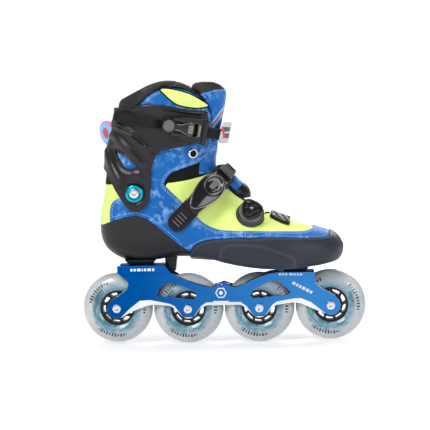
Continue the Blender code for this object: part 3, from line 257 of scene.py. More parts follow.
def both(*fields):
    return lambda points: np.min([field(points) for field in fields], axis=0)


def outside(field):
    return lambda points: -field(points)


def on_side(side):
    return lambda points: points[:, 1] * side


def smoothstep(low, high, value):
    t = np.clip((value - low) / (high - low), 0.0, 1.0)
    return t * t * (3 - 2 * t)


def hinge_height(points):
    """How far a point is above the line along which the ankle bends."""
    a = math.radians(HINGE_DEG)
    return (points[:, 2] - PIVOT[1]) * math.cos(a) - (points[:, 0] - PIVOT[0]) * math.sin(a)


# ---------------------------------------------------------------- the boot's skin
def skin_points(steps, count):
    """Rings of points on the smooth skin."""
    rows = np.array([(*bottom, *top, *rest) for bottom, top, *rest in SECTIONS])
    rows = through(rows, steps)
    bx, bz, tx, tz, half_width, shift, widest, low, high = [column[:, None] for column in rows.T]
    a = np.linspace(0.0, 2 * math.pi, count, endpoint=False)[None, :]
    c, s = np.cos(a), np.sin(a)
    square = np.where(c > 0, low, high)
    reach = np.abs(c) ** (2 / square)
    t = np.where(c > 0, widest * (1 - reach), widest + (1 - widest) * reach)
    y = shift + half_width * np.sign(s) * np.abs(s) ** (2 / square)
    return np.stack([bx + (tx - bx) * t, y, bz + (tz - bz) * t], axis=2)


def wrap_coordinates(points):
    """Lengths round the heel and up, in metres, for a weave that follows the boot."""
    centre_x, radius = -95.0, 37.0
    x, y, z = points.T
    round_heel = radius * np.arctan2(y, centre_x - x)
    along_side = np.sign(y) * (radius * math.pi / 2 + x - centre_x)
    return np.column_stack([np.where(x > centre_x, along_side, round_heel), z, y]) * MM


class Patch:
    """A part of the skin: a row of data for each vertex, and triangles. A slice can follow any column."""

    def __init__(self, data, faces, names):
        self.data, self.faces, self.names = data, faces, dict(names)

    @classmethod
    def whole(cls, steps, count):
        grid = skin_points(steps, count)
        along = np.gradient(grid, axis=0)
        around = np.roll(grid, -1, axis=1) - np.roll(grid, 1, axis=1)
        normals = np.cross(along, around)
        normals /= np.maximum(np.linalg.norm(normals, axis=2, keepdims=True), 1e-9)
        index = np.arange(grid.shape[0] * count).reshape(-1, count)
        a, b = index[:-1], np.roll(index, -1, axis=1)[:-1]
        d, c = index[1:], np.roll(index, -1, axis=1)[1:]
        faces = np.concatenate([np.stack(t, axis=2).reshape(-1, 3) for t in ((a, b, c), (a, c, d))])
        return cls(np.concatenate([grid.reshape(-1, 3), normals.reshape(-1, 3)], axis=1), faces, {})

    @property
    def points(self):
        return self.data[:, 0:3]

    @property
    def normals(self):
        return self.data[:, 3:6]

    def __getitem__(self, name):
        return self.data[:, self.names[name]]

    def add(self, name, values):
        self.names[name] = self.data.shape[1]
        self.data = np.column_stack([self.data, values])

    def measured(self, field):
        """A field as a distance along the surface, not in side view."""
        points, normals, step = self.points, self.normals, 0.05
        slope = [(field(points + e) - field(points - e)) / (2 * step) for e in np.eye(3) * step]
        slope = np.stack(slope, axis=1)
        slope -= normals * (slope * normals).sum(axis=1, keepdims=True)
        return field(points) / np.clip(np.linalg.norm(slope, axis=1), 0.45, 1.0)

    def keep(self, mask):
        """Keeps some triangles, and the vertices they use."""
        self.faces = self.faces[mask]
        used, index = np.unique(self.faces, return_inverse=True)
        self.data, self.faces = self.data[used], index.reshape(-1, 3)
        return self

    def crossings(self, name, level):
        """The triangles that a level crosses, each with its lone corner first, and their cut edges."""
        values = self[name]
        above = values[self.faces] >= level
        mixed = above.any(axis=1) & ~above.all(axis=1)
        faces, above = self.faces[mixed], above[mixed]
        lone = np.where(above.sum(axis=1) == 1, above.argmax(axis=1), (~above).argmax(axis=1))
        faces = faces[np.arange(len(faces))[:, None], (lone[:, None] + np.arange(3)) % 3]
        edges = np.sort(np.concatenate([faces[:, [0, 1]], faces[:, [0, 2]]]), axis=1)
        edges, index = np.unique(edges, axis=0, return_inverse=True)
        index = index.reshape(2, -1)
        first, last = values[edges[:, 0]], values[edges[:, 1]]
        share = ((level - first) / (last - first))[:, None]
        rows = self.data[edges[:, 0]] * (1 - share) + self.data[edges[:, 1]] * share
        return mixed, faces, index, rows

    def slice(self, name, level):
        """Splits the triangles along a level of one column."""
        mixed, faces, index, rows = self.crossings(name, level)
        if not len(faces):
            return self
        ab, ac = index + len(self.data)
        a, b, c = faces.T
        made = np.concatenate([np.column_stack(t) for t in ((a, ab, ac), (ab, b, c), (ab, c, ac))])
        self.data = np.concatenate([self.data, rows])
        self.faces = np.concatenate([self.faces[~mixed], made])
        return self

    def slice_rim(self, radius, shares):
        """Splits the triangles at shares of a rounding radius in from the edge."""
        for share in shares:
            self.slice("edge", radius * share)

    def part(self, field, margin=6.0):
        """The part where the field is above zero, with its distance to the edge in column 'edge'."""
        rough = field(self.points)
        made = Patch(self.data, self.faces, self.names).keep((rough[self.faces] > -margin).any(axis=1))
        made.add("edge", made.measured(field))
        made.slice("edge", 0.0)
        return made.keep((made["edge"][made.faces] > -1e-7).all(axis=1))

    def lines(self, name, level):
        """The runs of rows along a level of one column."""
        _, _, index, rows = self.crossings(name, level)
        links = {}
        for p, q in index.T:
            links.setdefault(p, []).append(q)
            links.setdefault(q, []).append(p)
        runs, seen = [], set()
        starts = [p for p, ends in links.items() if len(ends) == 1] + list(links)
        for start in starts:
            run = [start] if start not in seen else []
            seen.update(run)
            while run:
                ahead = [q for q in links[run[-1]] if q not in seen]
                if not ahead:
                    break
                run.append(ahead[0])
                seen.add(ahead[0])
            if len(run) > 3:
                if run[0] in links[run[-1]]:
                    run.append(run[0])
                runs.append(rows[run])
        return runs

    def solid(self, name, top, bottom, looks, tags=None, smooth_deg=42.0):
        """A closed shell between two offsets of the patch."""
        count = len(self.data)
        edges = np.concatenate([self.faces[:, [0, 1]], self.faces[:, [1, 2]], self.faces[:, [2, 0]]])
        key = np.sort(edges, axis=1)
        _, index, uses = np.unique(key, axis=0, return_inverse=True, return_counts=True)
        rim = edges[uses[index.reshape(-1)] == 1]
        p, q = rim.T
        walls = np.concatenate([np.column_stack(t) for t in ((q, p, p + count), (q, p + count, q + count))])
        faces = np.concatenate([self.faces, self.faces[:, ::-1] + count, walls])
        top = np.broadcast_to(np.asarray(top, float), (count,))[:, None]
        bottom = np.broadcast_to(np.asarray(bottom, float), (count,))[:, None]
        points = np.concatenate([self.points + self.normals * top, self.points + self.normals * bottom])
        if tags is not None:
            owner = np.tile(np.arange(len(self.faces)), 3)[uses[index.reshape(-1)] == 1]
            tags = np.concatenate([tags, tags, tags[owner], tags[owner]])
        obj = add_mesh(name, points, faces, looks, tags, smooth_deg)
        wrap = obj.data.attributes.new("wrap", "FLOAT_VECTOR", "POINT")
        wrap.data.foreach_set("vector", np.tile(wrap_coordinates(self.points), (2, 1)).ravel())
        return obj


def add_mesh(name, points, faces, looks, tags=None, smooth_deg=42.0, place=None):
    """An object from points in millimetres. With a place, the points are in that local frame."""
    mesh = bpy.data.meshes.new(name)
    points = np.asarray(points, float)
    points = points * MM if place is not None else (points + (0.0, SIDE, 0.0)) * MM
    mesh.from_pydata(points.tolist(), [], [list(map(int, face)) for face in faces])
    for look in looks if isinstance(looks, (list, tuple)) else [looks]:
        mesh.materials.append(look)
    if tags is not None:
        mesh.polygons.foreach_set("material_index", np.asarray(tags, np.int32))
    mesh.update()
    mesh.shade_smooth()
    mesh.set_sharp_from_angle(angle=math.radians(smooth_deg))
    obj = bpy.data.objects.new(name, mesh)
    bpy.context.scene.collection.objects.link(obj)
    if place is not None:
        obj.matrix_world = place
    return obj


SKIN = Patch.whole(SECTION_STEPS, RING_POINTS)
COARSE = Patch.whole(4, 112)
FINE = Patch.whole(16, 300)
TREE = BVHTree.FromPolygons(SKIN.points.tolist(), SKIN.faces.tolist())


def finish_piece(obj, slot, *replaced, body=None):
    """Puts a piece on its body, or bakes its place into its mesh, and hides the CAD nodes it replaces. Its
    slot is not used.
    """
    if replaced:
        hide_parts(*replaced)
    if body:
        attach(obj, body)
    else:
        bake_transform(obj)
    return obj


def rounded(edge, top, radius):
    """The height of a surface whose edge is rounded off."""
    d = np.clip(edge, 0.0, radius)
    return top - radius + np.sqrt(np.maximum(radius**2 - (radius - d) ** 2, 0.0))


def panel(name, field, top, bottom, look, radius=0.6, base=None, sculpt=None):
    """A layer with rounded edges. Returns its patch and its object."""
    patch = (base or SKIN).part(field)
    patch.slice_rim(radius, (0.1, 0.35, 1.0))
    height = rounded(patch["edge"], top, radius)
    if sculpt:
        height = height + sculpt(patch) * smoothstep(0.0, 2 * radius, patch["edge"])
    return patch, patch.solid(name, height, bottom, look)


def pad(name, field, top, bottom, looks, radius, base=None, tagged=None):
    """A padded layer, round at its edges on both faces. tagged gives each triangle its material."""
    patch = (base or COARSE).part(field)
    patch.slice_rim(radius, (0.04, 0.15, 0.35, 0.65, 1.0))
    tags = tagged(patch) if tagged else None
    top, bottom = (value(patch) if callable(value) else value for value in (top, bottom))
    sink = radius - rounded(patch["edge"], radius, radius)
    share = (top - bottom) / (2 * radius)
    sink = sink * np.minimum(share, 1.0)
    return patch, patch.solid(name, top - sink, bottom + sink, looks, tags, smooth_deg=70.0)


def puff(obj, held, pressure=4.0, most=2.2):
    """Cloth simulation: the pad swells between the seams that hold it, by at most so many millimetres."""
    mesh = obj.data
    rest = np.array([v.co for v in mesh.vertices])
    seams = obj.vertex_groups.new(name="seams")
    seams.add([int(k) for k in np.flatnonzero(held)], 1.0, "REPLACE")
    cloth = obj.modifiers.new("cloth", "CLOTH")
    cloth.settings.use_pressure = True
    cloth.settings.uniform_pressure_force = pressure
    cloth.settings.effector_weights.gravity = 0.0
    cloth.settings.vertex_group_mass = "seams"
    cloth.point_cache.frame_end = PUFF_FRAMES
    for number in range(1, PUFF_FRAMES + 1):
        bpy.context.scene.frame_set(number)
    evaluated = obj.evaluated_get(bpy.context.evaluated_depsgraph_get())
    moved = np.array([v.co for v in evaluated.data.vertices]) - rest
    obj.modifiers.remove(cloth)
    obj.vertex_groups.remove(seams)
    length = np.maximum(np.linalg.norm(moved, axis=1, keepdims=True), 1e-9)
    moved *= np.minimum(length, most * MM) / length
    mesh.vertices.foreach_set("co", (rest + np.nan_to_num(moved)).ravel())
    mesh.update()
    bpy.context.scene.frame_set(1)
    return obj


# ---------------------------------------------------------------- materials
class Look:
    """A Principled material whose colour, roughness and bump come from procedural nodes."""

    def __init__(self, name, colour, roughness, metallic=0.0, **sockets):
        self.material = bpy.data.materials.new(name)
        self.material.use_nodes = True
        self.nodes = self.material.node_tree.nodes
        self.shader = self.nodes["Principled BSDF"]
        self.bumped = None
        self.set(self.shader, {"Base Color": colour, "Roughness": roughness, "Metallic": metallic})
        self.set(self.shader, {key.replace("_", " "): value for key, value in sockets.items()})

    def set(self, node, values):
        for key, value in values.items():
            socket = node.inputs[key]
            if isinstance(value, bpy.types.NodeSocket):
                self.material.node_tree.links.new(value, socket)
            elif socket.type == "RGBA":
                socket.default_value = (*value[:3], 1.0)
            else:
                socket.default_value = value

    def node(self, kind, values=None, **settings):
        node = self.nodes.new("ShaderNode" + kind)
        for key, value in settings.items():
            setattr(node, key, value)
        self.set(node, values or {})
        return node

    def where(self):
        return self.node("TexCoord").outputs["Object"]

    def attribute(self, name):
        return self.node("Attribute", attribute_name=name).outputs["Vector"]

    def noise(self, size_mm, detail=3.0, vector=None, rough=0.55, warp=0.0):
        values = {"Vector": vector or self.where(), "Scale": 1000.0 / size_mm, "Detail": detail}
        return self.node("TexNoise", {**values, "Roughness": rough, "Distortion": warp}).outputs["Fac"]

    def cells(self, size_mm, output="Distance", vector=None, feature="F1"):
        values = {"Vector": vector or self.where(), "Scale": 1000.0 / size_mm}
        return self.node("TexVoronoi", values, feature=feature).outputs[output]

    def math(self, operation, first, second=0.0, third=0.0):
        return self.node("Math", {0: first, 1: second, 2: third}, operation=operation).outputs[0]

    def times(self, first, second):
        return self.math("MULTIPLY", first, second)

    def plus(self, first, second):
        return self.math("ADD", first, second)

    def minus(self, first, second):
        return self.math("SUBTRACT", first, second)

    def spread(self, value, low, high, to_low=0.0, to_high=1.0):
        values = {"Value": value, "From Min": low, "From Max": high, "To Min": to_low, "To Max": to_high}
        return self.node("MapRange", values).outputs["Result"]

    def split(self, vector):
        return self.node("SeparateXYZ", {0: vector}).outputs

    def mix(self, share, first, second):
        return self.node("Mix", {0: share, 6: first, 7: second}, data_type="RGBA").outputs[2]

    def bump(self, height, depth_mm, strength=1.0):
        values = {"Height": height, "Distance": depth_mm * MM, "Strength": strength}
        if self.bumped:
            values["Normal"] = self.bumped
        self.bumped = self.node("Bump", values).outputs["Normal"]
        self.set(self.shader, {"Normal": self.bumped})

    def colour(self, value):
        self.set(self.shader, {"Base Color": value})

    def roughness(self, value):
        self.set(self.shader, {"Roughness": value})

    def worn_edges(self, base, bright, low=0.52, high=0.62, share=0.6):
        """Lightens the sharp edges, where plastic and metal rub."""
        point = self.node("NewGeometry").outputs["Pointiness"]
        amount = self.times(self.spread(point, low, high, 0.0, share), self.noise(3.0, 4.0))
        return self.mix(amount, base, bright)


def microfibre(name, base, light, pale, share=0.5):
    """Coated microfibre with a print of pale shards over a fine grain."""
    look = Look(name, base, 0.55, Specular_IOR_Level=0.25)
    shards = look.split(look.cells(7.0, "Color"))
    small = look.split(look.cells(3.4, "Color"))
    cloud = look.spread(look.noise(26.0, 2.0), 0.44, 0.62)
    drift = look.mix(look.noise(40.0, 2.0), base, [0.75 * c for c in base])
    first = look.times(look.math("GREATER_THAN", shards[0], 0.52), cloud)
    second = look.times(look.math("GREATER_THAN", small[1], 0.66), cloud)
    printed = look.mix(look.times(first, share), drift, light)
    printed = look.mix(look.times(second, share * 1.1), printed, pale)
    look.colour(
        look.mix(look.spread(look.noise(1.2, 3.0), 0.35, 0.65, 0.0, 0.12), printed, (0.0, 0.02, 0.1))
    )
    look.roughness(look.spread(look.noise(5.0, 4.0), 0.3, 0.7, 0.48, 0.62))
    look.bump(look.noise(0.55, 4.0), 0.12, 0.6)
    look.bump(look.noise(9.0, 2.0), 0.5, 0.35)
    return look.material


def open_mesh(name, base, painted_hole_shade, size_mm=1.5, depth_mm=0.35):
    """A knitted spacer mesh: rows of small holes in every direction, darkened by painted shade in the
    holes.
    """
    look = Look(name, base, 0.75, Specular_IOR_Level=0.15)
    waves = []
    for part in look.split(look.where()):
        waves.append(look.math("SINE", look.times(part, 2000 * math.pi / size_mm)))
    weave = look.times(look.plus(waves[0], waves[1]), look.plus(waves[1], waves[2]))
    holes = look.spread(weave, 0.4, 2.4)
    shade = look.mix(look.noise(18.0, 3.0), base, [0.86 * c for c in base])
    # Painted shade: the holes are coloured darker, as the shade inside them.
    look.colour(look.mix(look.times(holes, 0.55), shade, painted_hole_shade))
    look.bump(look.minus(1.0, holes), depth_mm, 0.7)
    return look.material


def knit(name, base, light, size_mm=1.1):
    """A soft lining with fine ribs and lint."""
    look = Look(name, base, 0.9, Specular_IOR_Level=0.1, Sheen_Weight=0.05, Sheen_Roughness=0.6)
    x, y, z = look.split(look.where())
    ribs = look.math("SINE", look.times(look.plus(look.plus(x, y), z), 6283 / size_mm))
    rows = look.math("SINE", look.times(z, 6283 / size_mm / 1.4))
    cloth = look.times(ribs, rows)
    look.colour(look.mix(look.spread(cloth, -1.0, 1.0, 0.0, 0.5), base, light))
    look.bump(cloth, 0.15, 0.6)
    look.bump(look.noise(6.0, 3.0), 0.4, 0.4)
    return look.material


def carbon():
    """Woven carbon under lacquer at the top of the heel, plain lacquered resin below."""
    look = Look(
        "carbon", (0.01, 0.01, 0.011), 0.34, Specular_IOR_Level=0.22, Coat_Weight=0.12, Coat_Roughness=0.1
    )
    tow = 1.7 * MM
    u, z, _ = look.split(look.attribute("wrap"))
    warp, weft = (look.math("DIVIDE", way, tow) for way in (u, z))
    step = look.minus(look.math("FLOOR", warp), look.math("FLOOR", weft))
    over = look.math("LESS_THAN", look.math("FLOORED_MODULO", step, 2.0), 1.0)
    bulges = [look.math("SINE", look.times(look.math("FRACT", way), math.pi)) for way in (warp, weft)]
    under = look.times(look.minus(1.0, over), bulges[1])
    height = look.plus(look.times(over, bulges[0]), under)
    woven = look.spread(z, 0.108, 0.121)
    tone = look.mix(over, (0.007, 0.006, 0.007), (0.030, 0.027, 0.029))
    tone = look.mix(look.spread(height, 0.0, 0.8), (0.003, 0.003, 0.004), tone)
    plain = look.mix(look.noise(30.0, 3.0), (0.010, 0.010, 0.012), (0.006, 0.006, 0.008))
    look.colour(look.mix(woven, plain, tone))
    look.roughness(look.spread(look.noise(7.0, 5.0), 0.3, 0.75, 0.28, 0.42))
    look.bump(look.times(height, woven), 0.10, 0.5)
    look.bump(look.noise(2.0, 3.0), 0.05, 0.3)
    return look.material


def leather(name, base, light, shine=0.2):
    """Coated hide: pebbled grain, fine pores and lightly rubbed high spots."""
    look = Look(name, base, 0.44, Specular_IOR_Level=shine)
    pebbles = look.cells(1.5, "Distance", feature="SMOOTH_F1")
    look.colour(look.worn_edges(look.mix(look.noise(22.0, 4.0), base, light), light))
    look.roughness(look.spread(look.noise(4.0, 4.0), 0.3, 0.7, 0.38, 0.55))
    look.bump(pebbles, 0.22, 0.5)
    look.bump(look.noise(0.5, 3.0), 0.06, 0.5)
    return look.material


def moulded(name, base, light, roughness=0.42, grain_mm=0.45, shine=0.25):
    """Injection-moulded plastic with a spark-eroded grain, faint flow marks and rubbed edges."""
    look = Look(name, base, roughness, Specular_IOR_Level=shine)
    look.colour(
        look.worn_edges(look.mix(look.noise(30.0, 3.0, warp=1.5), base, [1.25 * c for c in base]), light)
    )
    look.roughness(look.spread(look.noise(6.0, 5.0), 0.3, 0.7, roughness - 0.06, roughness + 0.08))
    look.bump(look.noise(grain_mm, 3.0), 0.06, 0.5)
    return look.material


def glossy(name, base, light):
    """Polished black plastic with hairline scratches."""
    look = Look(name, base, 0.1, Specular_IOR_Level=0.35, Coat_Weight=0.2, Coat_Roughness=0.03)
    scratches = look.spread(look.noise(1.6, 6.0, warp=4.0), 0.52, 0.6)
    look.colour(look.worn_edges(base, light, share=0.4))
    look.roughness(look.spread(scratches, 0.0, 1.0, 0.07, 0.2))
    look.bump(look.noise(12.0, 2.0), 0.06, 0.2)
    return look.material


def metal(name, base, roughness, brushed_mm=(0.15, 6.0, 6.0), dark=0.7):
    """Metal with a fine drawn grain, longest across the given directions, and slight handling marks."""
    look = Look(name, base, roughness, metallic=1.0)
    scale = [1.0 / size for size in brushed_mm]
    stretched = look.node("Mapping", {"Vector": look.where(), "Scale": scale}).outputs["Vector"]
    grain = look.noise(1.0, 3.0, vector=stretched)
    marks = look.noise(14.0, 5.0)
    look.colour(look.mix(look.spread(marks, 0.35, 0.75, 0.0, 0.5), base, [dark * c for c in base]))
    look.roughness(look.spread(grain, 0.25, 0.75, roughness - 0.06, roughness + 0.1))
    look.bump(grain, 0.02, 0.4)
    return look.material


def anodised(name, base, light):
    """Blue anodised faces, made paler towards the toe by a painted studio reflection, and bare metal where
    the edges were milled afterwards.
    """
    look = Look(name, base, 0.3, metallic=1.0)
    y = look.split(look.node("NewGeometry").outputs["True Normal"])[1]
    flat = look.math("ABSOLUTE", y)
    sloped = look.times(look.math("LESS_THAN", flat, 0.992), look.math("GREATER_THAN", flat, 0.2))
    below_flange = look.math("LESS_THAN", look.split(look.where())[2], 0.0765)
    milled = look.times(sloped, below_flange)
    satin = look.noise(1.2, 4.0)
    clouds = look.noise(45.0, 2.0)
    # Painted reflection: the blue turns towards the paler colour along x, lighter towards the toe.
    along = look.spread(look.split(look.where())[0], -0.09, 0.08)
    blue = look.mix(along, look.mix(clouds, base, [0.7 * c for c in base]), light)
    look.colour(look.mix(milled, blue, (0.90, 0.92, 0.95)))
    look.roughness(look.minus(look.spread(satin, 0.3, 0.7, 0.3, 0.42), look.times(milled, 0.14)))
    look.bump(satin, 0.015, 0.5)
    return look.material


def urethane():
    """A cast tyre: milky tread, a marbled teal band by the hub and a ring of generic printed marks."""
    look = Look(
        "urethane", (0.6, 0.61, 0.62), 0.28, Subsurface_Weight=0.3, Subsurface_Scale=0.004,
        Coat_Weight=0.3,
    )
    x, y, z = look.split(look.where())
    squared = look.plus(look.times(x, x), look.times(y, y))
    radius = look.times(look.math("SQRT", squared), 1000.0)
    turn = look.math("ARCTAN2", y, x)
    ripple = look.times(look.minus(look.noise(14.0, 4.0, warp=1.0), 0.5), 9.0)
    swirled = look.node("CombineXYZ", {0: look.plus(radius, ripple), 1: look.times(turn, 2.2)})
    streaks = look.noise(2400.0, 4.0, vector=swirled.outputs[0])
    patches = look.noise(20.0, 4.0, warp=1.5)
    teal = look.mix(look.spread(streaks, 0.38, 0.60), (0.03, 0.10, 0.14), (0.14, 0.34, 0.42))
    marbled = look.mix(look.spread(patches, 0.45, 0.68), teal, (0.27, 0.36, 0.44))
    ragged = look.plus(radius, look.times(look.minus(patches, 0.5), 7.0))
    band = look.spread(ragged, 25.0, 29.0, 1.0, 0.0)
    milk = look.mix(look.spread(look.noise(26.0, 3.0), 0.35, 0.65), (0.52, 0.54, 0.54), (0.40, 0.44, 0.47))
    body = look.mix(band, milk, marbled)
    dashes = look.times(turn, 9.4)
    gap = look.math("LESS_THAN", look.math("FRACT", dashes), 0.62)
    taller = look.math("LESS_THAN", look.math("FRACT", look.times(look.math("FLOOR", dashes), 0.618)), 0.5)
    reach = look.plus(1.2, look.times(taller, 0.7))
    group = look.math("LESS_THAN", look.math("FRACT", look.plus(look.times(turn, 0.4775), 0.1)), 0.5)
    ring = look.math("LESS_THAN", look.math("ABSOLUTE", look.minus(radius, 29.6)), reach)
    mark = look.times(look.times(gap, group), ring)
    look.colour(look.mix(look.times(mark, 0.95), body, (0.02, 0.03, 0.04)))
    look.roughness(look.spread(look.noise(3.0, 5.0), 0.3, 0.75, 0.2, 0.4))
    look.bump(look.noise(1.5, 3.0), 0.03, 0.3)
    return look.material


def plain(name, base, roughness=0.6, size_mm=1.0, **sockets):
    """Print or thread: one colour with a little grain."""
    look = Look(name, base, roughness, **sockets)
    look.colour(look.mix(look.noise(size_mm, 3.0), base, [0.8 * c for c in base]))
    look.bump(look.noise(size_mm / 3, 2.0), 0.05, 0.5)
    return look.material


BLUE = (0.0, 0.125, 0.44)
LOOKS = {
    "blue": microfibre("blue_microfibre", BLUE, (0.08, 0.30, 0.74), (0.30, 0.50, 0.86)),
    "blue_tongue": microfibre(
        "tongue_microfibre", (0.0, 0.14, 0.52), (0.10, 0.33, 0.78), (0.3, 0.5, 0.88), 0.35
    ),
    # Each mesh's second colour is the painted shade in its holes.
    "lime": open_mesh("lime_mesh", (0.78, 0.96, 0.27), (0.60, 0.84, 0.15)),
    "black_mesh": open_mesh("black_mesh", (0.008, 0.008, 0.009), (0.001, 0.001, 0.001), 1.8, 0.5),
    "lining": knit("lining_knit", (0.008, 0.008, 0.009), (0.022, 0.022, 0.025)),
    "collar": leather("collar_hide", (0.008, 0.008, 0.009), (0.016, 0.016, 0.018), 0.34),
    "carbon": carbon(),
    "bumper": leather("bumper_leather", (0.010, 0.013, 0.020), (0.020, 0.025, 0.036), 0.34),
    "piping": plain("black_piping", (0.004, 0.004, 0.005), 0.6, Specular_IOR_Level=0.15),
    "cuff": moulded("cuff_plastic", (0.008, 0.0075, 0.009), (0.05, 0.048, 0.05), 0.31, shine=0.34),
    "strap": moulded("strap_plastic", (0.005, 0.005, 0.006), (0.05, 0.05, 0.052), 0.34),
    "block": moulded("block_plastic", (0.005, 0.005, 0.006), (0.04, 0.04, 0.04), 0.4),
    "cup": moulded("cup_plastic", (0.022, 0.022, 0.024), (0.09, 0.09, 0.09), 0.22, shine=0.5),
    "gloss": glossy("buckle_gloss", (0.003, 0.003, 0.004), (0.06, 0.06, 0.065)),
    "grey": moulded("lever_grey", (0.11, 0.10, 0.11), (0.3, 0.3, 0.32), 0.32, 0.8),
    "steel": metal("steel", (0.78, 0.78, 0.80), 0.24),
    "dark_steel": metal("dark_steel", (0.22, 0.21, 0.21), 0.28),
    "cyan": metal("washer_cyan", (0.01, 0.42, 0.60), 0.2),
    # The frame's second colour is the painted reflection, paler towards the toe.
    "frame": anodised("anodised_blue", (0.0, 0.105, 0.42), (0.04, 0.23, 0.60)),
    "urethane": urethane(),
    "hub": moulded("hub_plastic", (0.006, 0.006, 0.007), (0.06, 0.06, 0.06), 0.3),
    "white": moulded("white_rubber", (0.50, 0.51, 0.57), (0.58, 0.58, 0.64), 0.5, 0.8),
    "thread_blue": plain("thread_blue", (0.36, 0.56, 0.88), 0.7, 0.4),
    "thread_dark": plain("thread_dark", (0.10, 0.115, 0.14), 0.7, 0.4),
    "sky": plain("print_sky", (0.14, 0.55, 0.82), 0.5),
    "red": plain("print_red", (0.62, 0.05, 0.08), 0.5),
    "pink": plain("print_pink", (0.70, 0.20, 0.48), 0.5),
    "print_white": plain("print_white", (0.80, 0.84, 0.92), 0.45),
    "print_dark": plain("print_dark", (0.02, 0.03, 0.08), 0.45),
}


# ---------------------------------------------------------------- small solids
def eased(outline, radius, steps=3, closed=True):
    """An outline with rounded corners."""
    rows = np.asarray(outline, float)
    t = np.linspace(0.0, 1.0, steps + 1)[:, None]
    made = []
    for k, corner in enumerate(rows):
        if not closed and k in (0, len(rows) - 1):
            made.append(corner[None])
            continue
        ends = []
        for other in (rows[k - 1], rows[(k + 1) % len(rows)]):
            run = other - corner
            ends.append(corner + run * min(radius / max(np.linalg.norm(run), 1e-9), 0.45))
        made.append((1 - t) ** 2 * ends[0] + 2 * t * (1 - t) * corner + t**2 * ends[1])
    return np.concatenate(made)


def skinned(rings, closed=False):
    """Points and faces of rings of points joined in order. An open run gets flat ends."""
    rings = np.asarray(rings, float)
    count, around = rings.shape[:2]
    index = np.arange(count * around).reshape(count, around)
    faces = []
    for k in range(count if closed else count - 1):
        low, high = index[k], index[(k + 1) % count]
        faces += np.column_stack([low, np.roll(low, -1), np.roll(high, -1), high]).tolist()
    if not closed:
        faces += [index[0][::-1].tolist(), index[-1].tolist()]
    return rings.reshape(-1, 3), faces


def lathe(profile, steps=64, closed=False):
    """A profile of radius and height turned about Z. Points whose third value is 1 follow a hexagon."""
    a = np.linspace(0.0, 2 * math.pi, steps, endpoint=False)
    fold = np.mod(a + math.pi / 6, math.pi / 3) - math.pi / 6
    rings = []
    for r, z, *hexed in profile:
        radius = r / np.cos(fold) if hexed else np.full(steps, r)
        rings.append(np.column_stack([radius * np.cos(a), radius * np.sin(a), np.full(steps, z)]))
    return skinned(rings, closed)


def dome(outline, low, high, radius, centre=(0.0, 0.0), crown=None, steps=6):
    """A solid over a star-shaped outline: flat below, with a rounded upper edge and a shaped top."""
    spokes = np.asarray(outline, float) - centre
    reach = np.linalg.norm(spokes, axis=1, keepdims=True)
    rings = [
        (spokes * 0.94, low), (spokes * 0.985, low + 0.1), (spokes, low + 0.4), (spokes, high - radius)
    ]
    for a in np.linspace(0.0, math.pi / 2, 5)[1:]:
        rings.append(
            (spokes * (1 - radius * (1 - math.cos(a)) / reach), high - radius + radius * math.sin(a))
        )
    inner = rings[-1][0]
    rings += [(inner * (1 - k / steps), high) for k in range(1, steps)]
    rings.append((inner * 0.02, high))
    made = []
    for k, (flat, z) in enumerate(rings):
        flat = flat + centre
        height = np.full(len(flat), float(z))
        if crown is not None and k >= 4:
            height += crown(flat) * min((k - 3) / 4.0, 1.0)
        made.append(np.column_stack([flat, height]))
    return skinned(made)


def sweep(path, ups, section, closed=False):
    """A section, drawn across and up, carried along a path. It may change from point to point."""
    path, ups = np.asarray(path, float), np.asarray(ups, float)
    along = np.roll(path, -1, axis=0) - np.roll(path, 1, axis=0) if closed else np.gradient(path, axis=0)
    along /= np.maximum(np.linalg.norm(along, axis=1, keepdims=True), 1e-9)
    ups = ups - along * (ups * along).sum(axis=1, keepdims=True)
    ups /= np.maximum(np.linalg.norm(ups, axis=1, keepdims=True), 1e-9)
    across = np.cross(ups, along)
    section = np.broadcast_to(np.asarray(section, float), (len(path), *np.shape(section)[-2:]))
    rings = path[:, None] + across[:, None] * section[:, :, 0:1] + ups[:, None] * section[:, :, 1:2]
    return skinned(rings[:, ::-1], closed)


class Bundle:
    """Solids gathered into one mesh, each with the number of its material."""

    def __init__(self):
        self.points, self.faces, self.tags, self.count = [], [], [], 0

    def put(self, solid, tag=0, place=None):
        points, faces = np.asarray(solid[0], float), solid[1]
        if place is not None:
            points = points @ np.array(place.to_3x3()).T + np.array(place.translation)
        self.points.append(points)
        self.faces += [[k + self.count for k in face] for face in faces]
        self.tags += [tag] * len(faces)
        self.count += len(points)
        return self

    def make(self, name, looks, smooth_deg=38.0, place=None):
        return add_mesh(name, np.concatenate(self.points), self.faces, looks, self.tags, smooth_deg, place)


def solid_piece(name, solid, look, place=None, smooth_deg=38.0):
    return Bundle().put(solid).make(name, look, smooth_deg, place)


def ring_section(radius, count=8):
    a = np.linspace(0.0, 2 * math.pi, count, endpoint=False)
    return np.column_stack([radius * np.cos(a), radius * np.sin(a)])


def stitch_runs(runs, height, keep):
    """Stitches along runs of surface rows: each is a short thread with round ends."""
    bundle = Bundle()
    scales = np.array([0.45, 0.9, 1.0, 0.9, 0.45])
    for rows in runs:
        points, ups = rows[:, 0:3] + rows[:, 3:6] * height, rows[:, 3:6]
        length = length_along(points)
        for start in np.arange(0.5, length[-1] - STITCH_LENGTH, STITCH_LENGTH + STITCH_GAP):
            at = start + STITCH_LENGTH * np.array([0.0, 0.12, 0.5, 0.88, 1.0])
            path = resampled(points, length, at)
            if keep is not None and keep(path[2:3])[0] < 0:
                continue
            up = resampled(ups, length, at)
            section = ring_section(STITCH_RADIUS, 6)[None] * scales[:, None, None]
            bundle.put(sweep(path, up, section))
    return bundle


def stitches(name, patch, column, levels, height, look, slot, keep=None, body=None):
    """Rows of stitches that follow levels of a patch's column."""
    runs = [run for level in levels for run in patch.lines(column, level)]
    bundle = stitch_runs(runs, height, keep)
    if bundle.count:
        finish_piece(bundle.make(name, look, 60.0), slot, body=body)


